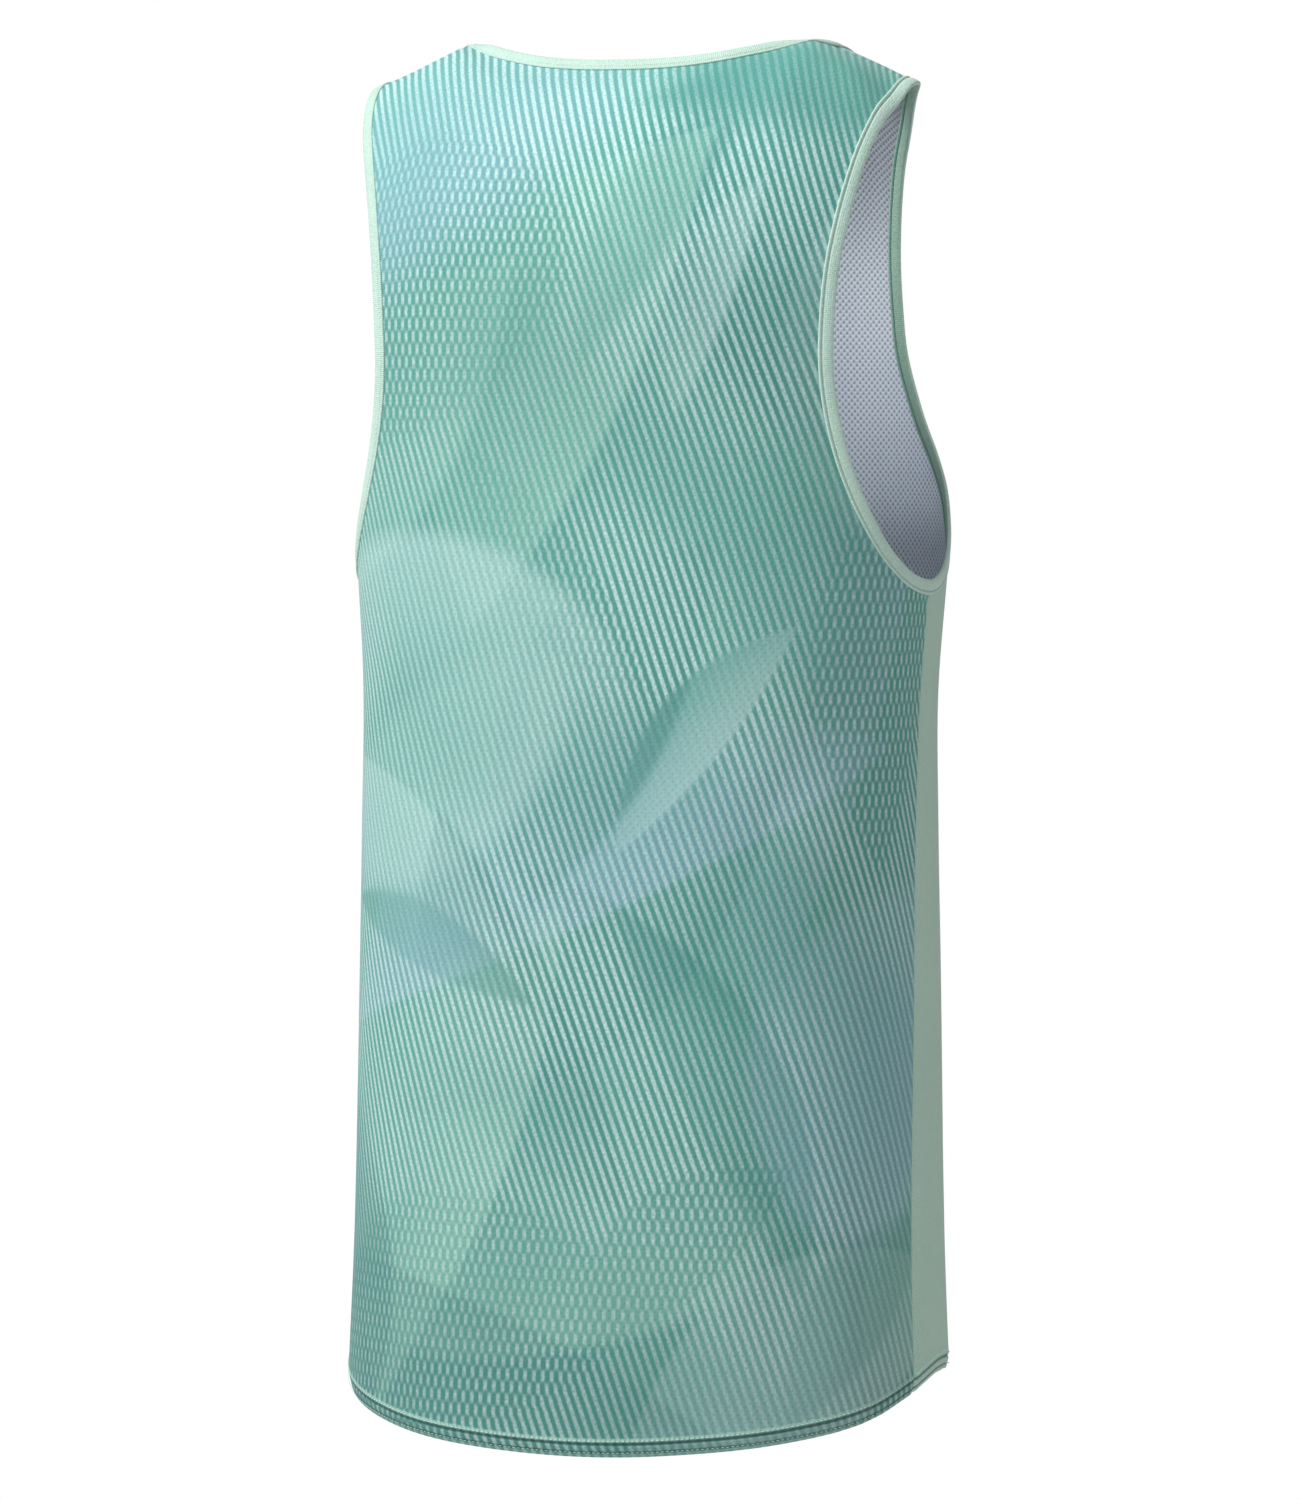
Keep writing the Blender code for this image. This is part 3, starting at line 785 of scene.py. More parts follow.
    def side_share(self, column: int, rise: float) -> float:
        """Place of a column of the side panel at this rise."""
        seam = float(FORM.seam_share(self.face, np.array(rise)))
        return seam + (1 - seam) * (column - SEAM_COLUMN) / (SIDE_COLUMN - SEAM_COLUMN)

    def pin_hem_and_side(self, pins: dict) -> None:
        """Pins the hem band, and the side panel's columns up to the armhole binding.

        Args:
            pins: Knots set so far.
        """
        side_hem = float(FORM.hem_height(Face.BACK, np.array(1.0)))
        seam = self.side_share(SEAM_COLUMN, side_hem)
        for column in range(SIDE_COLUMN + 1):
            share = seam * column / SEAM_COLUMN
            if column > SEAM_COLUMN:
                share = self.side_share(column, side_hem)
            hem = float(FORM.hem_height(self.face, np.array(share)))
            for row, up in enumerate((0, self.hem_height, self.hem_height + self.hem_step)):
                pins[column, row] = np.array([share, hem + up])
        for column in range(SEAM_COLUMN, SIDE_COLUMN + 1):
            low, high = pins[column, HEM_ROW][1], pins[column, ARM_ROW - 1][1]
            for row in range(HEM_ROW + 1, ARM_ROW):
                rise = low + (high - low) * (row - HEM_ROW) / (ARM_ROW - 1 - HEM_ROW)
                pins[column, row] = np.array([self.side_share(column, rise), rise])


GRIDS = {face: CoarseGrid(face).knots() for face in Face}


def stops_between(cuts: Sequence[int]) -> Array:
    """Fine places along a coarse axis, from the number of parts of each of its steps."""
    places = [np.arange(parts) / parts + k for k, parts in enumerate(cuts)]
    return np.concatenate([*places, [len(cuts)]])


def read_between(grid: Array, columns: Array, rows: Array) -> Array:
    """Reads knots between the coarse ones.

    Args:
        grid: Coarse knots, columns by rows.
        columns: Fractional columns.
        rows: Fractional rows.

    Returns:
        Fine knots, columns by rows.
    """
    c, r = np.meshgrid(columns, rows, indexing="ij")
    c0 = np.minimum(c.astype(int), grid.shape[0] - 2)
    r0 = np.minimum(r.astype(int), grid.shape[1] - 2)
    fc, fr = (c - c0)[..., None], (r - r0)[..., None]
    low = grid[c0, r0] * (1 - fc) + grid[c0 + 1, r0] * fc
    high = grid[c0, r0 + 1] * (1 - fc) + grid[c0 + 1, r0 + 1] * fc
    return low * (1 - fr) + high * fr


class ClothMap:
    """Distances on the flat cloth, so that a print runs straight over the shoulders."""

    def __init__(self, reference_share: float = 0.35, lowest: float = -0.76, samples: int = 160) -> None:
        """Measures the cloth upwards along one line of each face.

        Args:
            reference_share: Share of the way to the side where the line runs.
            lowest: Rise of the line's lower end.
            samples: Number of places on the line.
        """
        self.rises = np.linspace(lowest, FORM.top_rise, samples)
        self.climbs = {}
        for face in Face:
            line = np.stack([np.full(samples, reference_share), self.rises], axis=1)
            along = FORM.length_along(face, line)
            at_base = np.interp(FORM.yoke_base, self.rises, along)
            self.climbs[face] = along - at_base + FORM.yoke_base

    def place(self, face: Face, hand: int, knots: Array) -> Array:
        """Places on the flat cloth.

        Args:
            face: Half of the garment.
            hand: 1 towards +X and -1 towards -X.
            knots: Share and rise of each knot, in the last axis.

        Returns:
            Metres to the right of the centre line as seen from outside, and metres up.
        """
        share, rise = knots[..., 0], knots[..., 1]
        across = share * FORM.girth(face, rise) * hand * -face.outward
        return np.stack([across, np.interp(rise, self.rises, self.climbs[face])], axis=-1)


CLOTH_MAP = ClothMap()


def srgb(red: int, green: int, blue: int) -> tuple[float, float, float, float]:
    """A colour of a paint chart, 0 to 255, as linear light.

    Args:
        red: Share of red.
        green: Share of green.
        blue: Share of blue.

    Returns:
        Red, green, blue and full opacity, each 0 to 1.
    """
    values = [c / 255 for c in (red, green, blue)]
    linear = [c / 12.92 if c <= 0.04045 else ((c + 0.055) / 1.055) ** 2.4 for c in values]
    return (*linear, 1.0)


class HemLine(NamedTuple):
    """Line of the hem: its height over the edge, its half width and its colour."""

    height: float
    width: float
    colour: tuple[float, ...]
    strength: float
    stitched: bool


class Ramp(NamedTuple):
    """Smooth way from a start to an end value, while what drives it goes from low to high."""

    low: float
    high: float
    start: float = 0.0
    end: float = 1.0


STITCH_PITCH = 0.0026
STITCH_GAP = Ramp(-0.9, 0.1, 0.5)
LINE_CORE = 0.25
# Hem lines by height over the edge: a bright row of stitches, two dark lines of painted shade in the hem's
# grooves, and a pale line on the rolled edge.
HEM_LINES = (
    HemLine(0.0087, 0.0015, srgb(190, 236, 220), 0.90, True),
    HemLine(0.0068, 0.0014, srgb(40, 92, 88), 0.75, False),
    HemLine(0.0023, 0.0012, srgb(40, 92, 88), 0.65, False),
    HemLine(0.0010, 0.0009, srgb(170, 214, 200), 0.35, False),
)


class Graph:
    """Adds and joins the nodes of one shader tree."""

    def __init__(self, tree: NodeTree) -> None:
        """Takes the tree to add to."""
        self.tree = tree

    def feed(self, node: Node, values: dict) -> None:
        """Gives a node's input sockets, by name or number, a number, a colour or a socket each.

        Args:
            node: Node to feed.
            values: What each socket is given.
        """
        for name, value in values.items():
            if isinstance(value, NodeSocket):
                self.tree.links.new(value, node.inputs[name])
            else:
                node.inputs[name].default_value = value

    def add(self, kind: str, values: dict | None = None, **settings: Any) -> Node:
        """Adds a node.

        Args:
            kind: Blender's name of the node type.
            values: What to feed to its sockets.
            **settings: Properties of the node.

        Returns:
            The node.
        """
        node = self.tree.nodes.new(kind)
        for name, value in settings.items():
            setattr(node, name, value)
        self.feed(node, values or {})
        return node

    def math(self, operation: str, *values: Any) -> NodeSocket:
        """Result of a Math node on these values."""
        return self.add("ShaderNodeMath", dict(enumerate(values)), operation=operation).outputs[0]

    def product(self, first: Any, *others: Any) -> NodeSocket:
        """All the values multiplied.

        Args:
            first: Number or socket.
            others: The other ones.

        Returns:
            Socket of the product.
        """
        for other in others:
            first = self.math("MULTIPLY", first, other)
        return first

    def vector(self, operation: str, values: dict) -> NodeSocket:
        """Result of a Vector Math node on these values."""
        outputs = self.add("ShaderNodeVectorMath", values, operation=operation).outputs
        return outputs["Value" if operation in ("DOT_PRODUCT", "LENGTH") else "Vector"]

    def ease(self, value: Any, low: Any, high: Any, start: Any = 0.0, end: Any = 1.0) -> NodeSocket:
        """The value's way from low to high, smooth at both ends, as start to end."""
        inputs = {"Value": value, "From Min": low, "From Max": high, "To Min": start, "To Max": end}
        return self.add("ShaderNodeMapRange", inputs, interpolation_type="SMOOTHSTEP").outputs["Result"]

    def mix(self, factor: Any, below: Any, above: Any) -> NodeSocket:
        """Two colours mixed."""
        return self.add("ShaderNodeMix", {0: factor, 6: below, 7: above}, data_type="RGBA").outputs[2]

    def noise(self, place: Any, scale: float, detail: float = 2.0) -> NodeSocket:
        """Soft random value at a place."""
        return self.add("ShaderNodeTexNoise", {"Vector": place, "Scale": scale, "Detail": detail}).outputs[0]

    def wave(self, value: Any, pitch: float) -> NodeSocket:
        """Wave of this pitch along a value, -1 to 1."""
        return self.math("COSINE", self.product(value, 2 * math.pi / pitch))

    def eyelets(self, u: Any, v: Any, pitch: float) -> NodeSocket:
        """Staggered round spots on a knit, 1 in the middle of each and -1 between them."""
        return self.product(self.wave(u, pitch), self.wave(v, pitch))

    def axes(self, vector: Any) -> bpy_prop_collection:
        """The three numbers of a vector."""
        return self.add("ShaderNodeSeparateXYZ", {0: vector}).outputs

    def hem_lines(self, colour: Any, u: Any) -> NodeSocket:
        """Draws the hem: a bright row of stitches, dark lines of painted shade in its two grooves, and a
        pale line on the rolled edge.

        Args:
            colour: Colour of the knit without its hem.
            u: Place along the hem.

        Returns:
            Colour of the knit with it.
        """
        above = self.axes(self.add("ShaderNodeUVMap", uv_map="edges").outputs[0])["X"]
        dashes = self.ease(self.wave(u, STITCH_PITCH), *STITCH_GAP)
        for line in HEM_LINES:
            off = self.math("ABSOLUTE", self.math("SUBTRACT", above, line.height))
            mask = self.ease(off, line.width, LINE_CORE * line.width, 0.0, line.strength)
            if line.stitched:
                mask = self.product(mask, dashes)
            colour = self.mix(mask, colour, line.colour)
        return colour


def new_material(name: str) -> tuple[Material, Graph, Node]:
    """A material with nodes, its graph and its Principled shader.

    Args:
        name: Name of the material.

    Returns:
        The three of them.
    """
    material = bpy.data.materials.new(name)
    material.use_nodes = True
    return material, Graph(material.node_tree), material.node_tree.nodes["Principled BSDF"]


def new_group(name: str, kind: str, inputs: dict[str, str], output: tuple[str, str]) -> Graph:
    """Makes an empty node group.

    Args:
        name: Name of the group.
        kind: Blender's name of the tree type.
        inputs: Kind of each input socket, by its name.
        output: Name and kind of the output socket.

    Returns:
        Graph of the group.
    """
    tree = bpy.data.node_groups.new(name, kind)
    for socket, data in inputs.items():
        tree.interface.new_socket(name=socket, in_out="INPUT", socket_type=f"NodeSocket{data}")
    tree.interface.new_socket(name=output[0], in_out="OUTPUT", socket_type=f"NodeSocket{output[1]}")
    return Graph(tree)


class Tone(Enum):
    """Dye of a printed motif."""

    DEEP = srgb(70, 141, 136)
    TEAL = srgb(88, 160, 150)
    MINT = srgb(158, 214, 192)
    LILAC = srgb(148, 184, 206)
    PALE = srgb(188, 224, 222)


class Motif(NamedTuple):
    """Petal of the print, on the flat cloth.

    Its place and half sizes are in metres and its turn in degrees. The bend moves its tips to one
    side, in half widths. It is an oval or ends in points. It is crisp on the side that it bends away
    from, and fades to the other.
    """

    u: float
    v: float
    length: float
    width: float
    turn: float
    bend: float
    oval: bool
    crispness: float
    strength: float
    fade: float = 0.0
    tone: Tone = Tone.TEAL


MOTIFS = (
    Motif(-0.120, -0.020, 0.170, 0.110, 30, 0.2, True, 0.20, 0.50, 0.9, Tone.LILAC),
    Motif(0.100, -0.100, 0.150, 0.075, -62, -0.4, True, 0.40, 0.82, 0.5, Tone.DEEP),
    Motif(-0.030, -0.150, 0.150, 0.060, 64, 0.6, False, 0.90, 0.40, 0.9, Tone.MINT),
    Motif(0.150, -0.180, 0.120, 0.050, 108, 0.5, False, 0.80, 0.36, 0.8, Tone.PALE),
    Motif(-0.150, -0.210, 0.160, 0.060, 36, -0.4, False, 0.85, 0.26, 0.9, Tone.MINT),
    Motif(0.050, -0.230, 0.190, 0.065, 122, 0.5, False, 0.92, 0.30, 0.9),
    Motif(-0.080, -0.310, 0.130, 0.070, 168, -0.3, True, 0.60, 0.50, 1.0, Tone.PALE),
    Motif(0.120, -0.320, 0.170, 0.050, 72, 0.6, False, 0.92, 0.22, 0.9, Tone.LILAC),
    Motif(-0.010, -0.400, 0.190, 0.050, 24, 0.7, False, 0.92, 0.58, 0.9, Tone.LILAC),
    Motif(0.060, -0.345, 0.078, 0.022, 52, 0.5, False, 0.80, 0.62, 0.8, Tone.PALE),
    Motif(-0.120, -0.430, 0.140, 0.055, 146, -0.5, False, 0.90, 0.34, 1.0, Tone.PALE),
    Motif(0.010, -0.470, 0.150, 0.040, 40, -0.5, False, 0.92, 0.46, 1.0, Tone.DEEP),
    Motif(0.150, -0.440, 0.150, 0.055, 112, 0.4, False, 0.90, 0.16, 0.9),
    Motif(-0.090, -0.560, 0.150, 0.055, 66, 0.5, False, 0.90, 0.46, 0.9, Tone.MINT),
    Motif(0.080, -0.560, 0.190, 0.060, 118, -0.6, False, 0.94, 0.42, 0.9, Tone.DEEP),
    Motif(0.160, -0.510, 0.110, 0.075, 60, 0.4, True, 0.60, 0.62, 0.6, Tone.LILAC),
    Motif(-0.010, -0.610, 0.120, 0.060, 12, 0.3, True, 0.70, 0.40, 0.9, Tone.MINT),
    Motif(-0.160, -0.630, 0.120, 0.050, 100, -0.4, False, 0.88, 0.46, 0.9, Tone.DEEP),
    Motif(0.120, -0.665, 0.120, 0.050, 26, 0.5, False, 0.90, 0.46, 0.6, Tone.PALE),
    Motif(-0.050, -0.690, 0.150, 0.045, 160, 0.5, False, 0.90, 0.44, 0.8, Tone.DEEP),
    Motif(0.060, -0.120, 0.070, 0.022, 70, 0.6, False, 0.70, 0.34, 0.8, Tone.PALE),
    Motif(0.180, -0.640, 0.080, 0.030, 84, 0.5, False, 0.80, 0.34, 0.7, Tone.MINT),
    Motif(0.005, -0.335, 0.110, 0.050, 64, 0.4, False, 0.85, 0.62, 0.8, Tone.DEEP),
    Motif(-0.085, -0.375, 0.110, 0.055, 30, -0.3, True, 0.40, 0.40, 0.6, Tone.PALE),
    Motif(-0.045, -0.500, 0.120, 0.045, 118, 0.5, False, 0.85, 0.62, 0.9, Tone.DEEP),
)

# Where a second set of pinstripes crosses the first, and where there are none.
CROSSED = (
    Motif(-0.110, -0.120, 0.120, 0.085, 24, 0.0, True, 0.55, 1.0),
    Motif(0.165, -0.300, 0.130, 0.052, 82, 0.4, False, 0.70, 1.0),
    Motif(-0.080, -0.650, 0.140, 0.075, 14, 0.3, False, 0.70, 1.0),
    Motif(0.050, -0.610, 0.080, 0.032, 40, 0.4, False, 0.80, 0.9),
    Motif(-0.020, -0.270, 0.090, 0.030, 130, 0.4, False, 0.70, 0.6),
)

PLAIN = (
    Motif(0.110, 0.000, 0.110, 0.050, 10, 0.0, False, 0.30, 0.75),
    Motif(0.085, -0.530, 0.120, 0.030, 116, -0.6, False, 0.80, 0.60, 0.4),
    Motif(0.060, -0.345, 0.078, 0.022, 52, 0.5, False, 0.75, 0.90),
    Motif(-0.090, -0.455, 0.080, 0.020, 160, -0.5, False, 0.70, 0.90, 0.3),
    Motif(0.150, -0.640, 0.075, 0.030, 50, 0.5, False, 0.75, 0.65, 0.4),
    Motif(0.030, -0.080, 0.100, 0.030, 60, 0.5, False, 0.50, 0.70, 0.5),
)


def petal_group() -> NodeTree:
    """Group that gives the mask of one petal.

    Returns:
        The group, which is made only once.
    """
    name = "petal"
    if name in bpy.data.node_groups:
        return bpy.data.node_groups[name]
    inputs = dict.fromkeys(("Place", "Centre", "Turn", "Size"), "Vector")
    inputs |= dict.fromkeys(("Bend", "Power", "Rim", "Fade", "Strength"), "Float")
    graph = new_group(name, "ShaderNodeTree", inputs, ("Mask", "Float"))
    given = graph.add("NodeGroupInput").outputs
    placing = {"Location": given["Centre"], "Rotation": given["Turn"], "Scale": given["Size"]}
    placing["Vector"] = given["Place"]
    x, y, _ = graph.axes(graph.add("ShaderNodeMapping", placing, vector_type="TEXTURE").outputs[0])
    along = graph.product(x, x)
    across = graph.math("ADD", y, graph.product(along, given["Bend"]))
    reach = graph.math("ADD", along, graph.math("POWER", graph.math("ABSOLUTE", across), given["Power"]))
    inside = graph.ease(reach, 1.0, given["Rim"])
    kept = graph.ease(across, 1.0, -1.0, graph.math("SUBTRACT", 1.0, given["Fade"]), 1.0)
    graph.add("NodeGroupOutput", {"Mask": graph.product(inside, kept, given["Strength"])})
    return graph.tree


class Feel(NamedTuple):
    """How a knit takes the light: its gloss and fuzz, and the depth and strength of its relief."""

    roughness: float
    specular: float
    sheen: float
    sheen_roughness: float
    relief_depth: float
    relief_strength: float


class Knit:
    """Material of a cloth, drawn on its flat map. Each kind of knit draws its own colour and relief."""

    feel: Feel

    def draw(self, graph: Graph, uv: Any, u: Any, v: Any) -> tuple[Any, Any]:
        """Colour and height of the knit at a place on the cloth.

        Args:
            graph: Graph to add nodes to.
            uv: Place on the flat cloth.
            u: Its part across the cloth.
            v: Its part up the cloth.

        Returns:
            Sockets of the colour and of the height.
        """
        raise NotImplementedError

    def build(self, name: str) -> Material:
        """Makes the material.

        Args:
            name: Name of the material.

        Returns:
            The material.
        """
        material, graph, shader = new_material(name)
        uv = graph.add("ShaderNodeUVMap", uv_map="cloth").outputs[0]
        u, v, _ = graph.axes(uv)
        colour, height = self.draw(graph, uv, u, v)
        feel = self.feel
        relief = {"Height": height, "Distance": feel.relief_depth, "Strength": feel.relief_strength}
        looks = {
            "Base Color": colour, "Roughness": feel.roughness, "Specular IOR Level": feel.specular,
            "Sheen Weight": feel.sheen, "Sheen Roughness": feel.sheen_roughness,
            "Normal": graph.add("ShaderNodeBump", relief).outputs[0],
        }
        graph.feed(shader, looks)
        return material


@dataclass(frozen=True)
class PrintedKnit(Knit):
    """Outside of the panels: petals of colour and fine slanted pinstripes on an eyelet knit."""

    turned: bool
    feel: Feel = Feel(0.76, 0.25, 0.10, 0.45, 0.00012, 0.6)
    turn_height: float = -0.66
    ground: tuple[float, ...] = srgb(92, 164, 153)
    ground_patches: Ramp = Ramp(0.35, 0.65)
    patch_scale: float = 5.0
    stripe: tuple[float, ...] = srgb(202, 234, 231)
    stripe_pitch: float = 0.00467
    stripe_lean: float = math.radians(20.5)
    crossing_lean: float = math.radians(-21)
    stripe_edge: float = -0.68
    crossed_edge: float = 0.30
    stripe_full: float = 0.86
    stripe_strength: float = 0.81
    plain_loss: float = 0.73
    crossed_strength: float = 0.92
    fade_scale: float = 7.0
    fading: Ramp = Ramp(0.34, 0.60, 0.50, 1.0)
    grain_scale: float = 650.0
    stripe_grain: Ramp = Ramp(0.25, 0.75, 0.8, 1.15)
    tone_grain: Ramp = Ramp(0.2, 0.8, 0.94, 1.06)
    eyelet_pitch: float = 0.0040
    eyelet: Ramp = Ramp(0.25, 0.95)
    eyelet_strength: float = 0.16
    # Painted shade: the print is made darker below the shoulders and towards the hem, by its height on the
    # cloth.
    painted_shoulder_shade: Ramp = Ramp(-0.04, -0.16, 1.0, 0.84)
    painted_hem_shade: Ramp = Ramp(-0.50, -0.76, 0.97, 0.70)

    def mask(self, graph: Graph, place: Any, motif: Motif) -> NodeSocket:
        """Mask of one motif, times its strength.

        Args:
            graph: Graph to add nodes to.
            place: Place on the flat cloth.
            motif: Motif to draw.

        Returns:
            Socket of the mask.
        """
        values = {
            "Place": place, "Centre": (motif.u, motif.v, 0), "Turn": (0, 0, math.radians(motif.turn)),
            "Size": (motif.length, motif.width, 1), "Bend": motif.bend, "Power": 2.0 if motif.oval else 1.0,
            "Rim": motif.crispness, "Fade": motif.fade, "Strength": motif.strength,
        }
        return graph.add("ShaderNodeGroup", values, node_tree=petal_group()).outputs[0]

    def zone(self, graph: Graph, place: Any, motifs: Sequence[Motif]) -> NodeSocket:
        """The strongest mask of several motifs.

        Args:
            graph: Graph to add nodes to.
            place: Place on the flat cloth.
            motifs: Motifs to draw.

        Returns:
            Socket of the mask.
        """
        found = self.mask(graph, place, motifs[0])
        for motif in motifs[1:]:
            found = graph.math("MAXIMUM", found, self.mask(graph, place, motif))
        return found

    def pinstripes(self, graph: Graph, place: Any, lean: float) -> NodeSocket:
        """Wave across the pinstripes of one lean, -1 to 1.

        Args:
            graph: Graph to add nodes to.
            place: Place on the flat cloth.
            lean: Angle that the wave runs at.

        Returns:
            Socket of the wave.
        """
        turn = 2 * math.pi / self.stripe_pitch
        heading = (turn * math.cos(lean), turn * math.sin(lean), 0)
        return graph.math("COSINE", graph.vector("DOT_PRODUCT", {0: place, 1: heading}))

    def stripes(self, graph: Graph, place: Any, crossed: Any) -> NodeSocket:
        """Pale part of the pinstripes, broken into dashes where a second set crosses them.

        Args:
            graph: Graph of the material.
            place: Place on the cloth.
            crossed: How far the second set shows, 0 to 1.

        Returns:
            Mask of the pinstripes.
        """
        main = self.pinstripes(graph, place, self.stripe_lean)
        second = self.pinstripes(graph, place, self.crossing_lean)
        share = graph.product(crossed, 0.5)
        kept = graph.math("SUBTRACT", 1.0, share)
        wave = graph.math("ADD", graph.product(main, kept), graph.product(second, share))
        edge = graph.math("MULTIPLY_ADD", crossed, self.crossed_edge, self.stripe_edge)
        return graph.ease(wave, edge, self.stripe_full)

    def print_colour(self, graph: Graph, place: Any) -> NodeSocket:
        """Petals of colour on the ground.

        Args:
            graph: Graph to add nodes to.
            place: Place on the flat cloth.

        Returns:
            Socket of the colour.
        """
        patches = graph.ease(graph.noise(place, self.patch_scale), *self.ground_patches)
        colour = graph.mix(patches, self.ground, Tone.TEAL.value)
        for motif in MOTIFS:
            colour = graph.mix(self.mask(graph, place, motif), colour, motif.tone.value)
        return colour

    def draw(self, graph: Graph, uv: Any, u: Any, v: Any) -> tuple[Any, Any]:
        """Print, pinstripes and eyelets, made darker at the hem and below the shoulders by painted shade.

        Args:
            graph: Graph to add nodes to.
            uv: Place on the flat cloth.
            u: Its part across the cloth.
            v: Its part up the cloth.

        Returns:
            Sockets of the colour and of the height.
        """
        turn, shift = (math.pi, self.turn_height) if self.turned else (0, 0)
        turning = {"Vector": uv, "Rotation": (0, 0, turn), "Location": (0, shift, 0)}
        place = graph.add("ShaderNodeMapping", turning).outputs[0]
        crossed, plain = self.zone(graph, place, CROSSED), self.zone(graph, place, PLAIN)
        grain = graph.noise(uv, self.grain_scale, 1.0)
        strength = graph.product(
            graph.ease(graph.noise(place, self.fade_scale, 1.0), *self.fading),
            graph.math("SUBTRACT", self.stripe_strength, graph.product(plain, self.plain_loss)),
            graph.ease(grain, *self.stripe_grain),
            graph.ease(crossed, 0.0, 1.0, 1.0, self.crossed_strength),
        )
        line = graph.product(self.stripes(graph, uv, crossed), strength)
        colour = graph.mix(line, self.print_colour(graph, place), self.stripe)
        hole = graph.ease(graph.eyelets(u, v, self.eyelet_pitch), *self.eyelet)
        colour = graph.mix(graph.product(hole, self.eyelet_strength), colour, Tone.DEEP.value)
        # Painted shade below the shoulders and towards the hem, times a random tone from the grain.
        shade = graph.product(
            graph.ease(v, *self.painted_shoulder_shade),
            graph.ease(v, *self.painted_hem_shade),
            graph.ease(grain, *self.tone_grain),
        )
        colour = graph.vector("SCALE", {0: graph.hem_lines(colour, u), 3: shade})
        return colour, graph.math("SUBTRACT", grain, hole)


@dataclass(frozen=True)
class PlainKnit(Knit):
    """Knit of one colour with eyelets: the inside of the panels, and the side panels."""

    colour: tuple[float, ...]
    eyelet: tuple[float, ...]
    # Pale colour: a random tone in the patches, and a painted highlight on the ridges between the eyelets.
    lift: tuple[float, ...]
    eyelet_strength: float
    pitch: float
    # Painted shade: how dark the cloth is made at its top and below the armholes.
    painted_top_shade: float = 1.0
    painted_low_shade: float = 1.0
    hemmed: bool = False
    feel: Feel = Feel(0.82, 0.25, 0.15, 0.5, 0.0002, 0.7)
    patch_scale: float = 14.0
    patches: Ramp = Ramp(0.3, 0.7, 0.0, 0.35)
    hole_edge: Ramp = Ramp(0.0, 0.80)
    # Where the painted highlight on the ridges between the eyelets falls, and its strength as a share of the
    # eyelets'.
    ridge_edge: Ramp = Ramp(0.0, -0.9)
    ridge_share: float = 0.5
    grain_scale: float = 700.0
    # Heights on the cloth over which the painted shade at the top and below the armholes comes in.
    top_stretch: Ramp = Ramp(-0.20, -0.03)
    low_stretch: Ramp = Ramp(-0.225, -0.26)

    def draw(self, graph: Graph, uv: Any, u: Any, v: Any) -> tuple[Any, Any]:
        """Soft patches and eyelets, with painted shade at the top and below the armholes where asked.

        Args:
            graph: Graph to add nodes to.
            uv: Place on the flat cloth.
            u: Its part across the cloth.
            v: Its part up the cloth.

        Returns:
            Sockets of the colour and of the height.
        """
        spots = graph.eyelets(u, v, self.pitch)
        hole = graph.ease(spots, *self.hole_edge)
        ridge = graph.ease(spots, *self.ridge_edge)
        patches = graph.ease(graph.noise(uv, self.patch_scale), *self.patches)
        colour = graph.mix(patches, self.colour, self.lift)
        # Painted highlight: the ridges between the eyelets are drawn in the pale colour.
        colour = graph.mix(graph.product(ridge, self.eyelet_strength * self.ridge_share), colour, self.lift)
        colour = graph.mix(graph.product(hole, self.eyelet_strength), colour, self.eyelet)
        if self.hemmed:
            colour = graph.hem_lines(colour, u)
        # Painted shade at the top of the cloth and below the armholes.
        top = graph.ease(v, self.top_stretch.low, self.top_stretch.high, 1.0, self.painted_top_shade)
        low = graph.ease(v, self.low_stretch.low, self.low_stretch.high, 1.0, self.painted_low_shade)
        colour = graph.vector("SCALE", {0: colour, 3: graph.product(top, low)})
        grain = graph.noise(uv, self.grain_scale)
        return colour, graph.math("ADD", graph.math("SUBTRACT", ridge, hole), grain)


@dataclass(frozen=True)
class RibKnit(Knit):
    """Folded binding strip: fine ribs across a pale mottled knit."""

    colour: tuple[float, ...]
    # Darker colour: painted shade in the rib valleys, and a random tone in the patches and specks.
    shade: tuple[float, ...]
    feel: Feel = Feel(0.78, 0.30, 0.20, 0.45, 0.0001, 0.6)
    rib_pitch: float = 0.0011
    valley_strength: float = 0.16
    patch_scale: float = 60.0
    patches: Ramp = Ramp(0.3, 0.7)
    patch_strength: float = 0.20
    mottle_scale: float = 620.0
    mottle_detail: float = 3.0
    mottle: Ramp = Ramp(0.35, 0.65)
    mottle_strength: float = 0.42
    mottle_depth: float = 2.0
    course_height: float = 0.5

    def draw(self, graph: Graph, uv: Any, u: Any, v: Any) -> tuple[Any, Any]:
        """Ribs along the strip with painted shade in their valleys, and darker patches and specks.

        Args:
            graph: Graph to add nodes to.
            uv: Place on the flat cloth.
            u: Its part across the cloth.
            v: Its part up the cloth.

        Returns:
            Sockets of the colour and of the height.
        """
        rib, course = graph.wave(u, self.rib_pitch), graph.wave(v, self.rib_pitch)
        valley = graph.ease(rib, 0.0, -1.0)
        patch = graph.ease(graph.noise(uv, self.patch_scale), *self.patches)
        specks = graph.noise(uv, self.mottle_scale, self.mottle_detail)
        mottle = graph.ease(specks, *self.mottle)
        # Painted shade in the rib valleys.
        shaded_valley = graph.product(valley, self.valley_strength)
        shade = graph.math("ADD", shaded_valley, graph.product(patch, self.patch_strength))
        shade = graph.math("ADD", shade, graph.product(mottle, self.mottle_strength))
        height = graph.math("ADD", rib, graph.product(course, self.course_height))
        height = graph.math("SUBTRACT", height, graph.product(mottle, self.mottle_depth))
        return graph.mix(shade, self.colour, self.shade), height


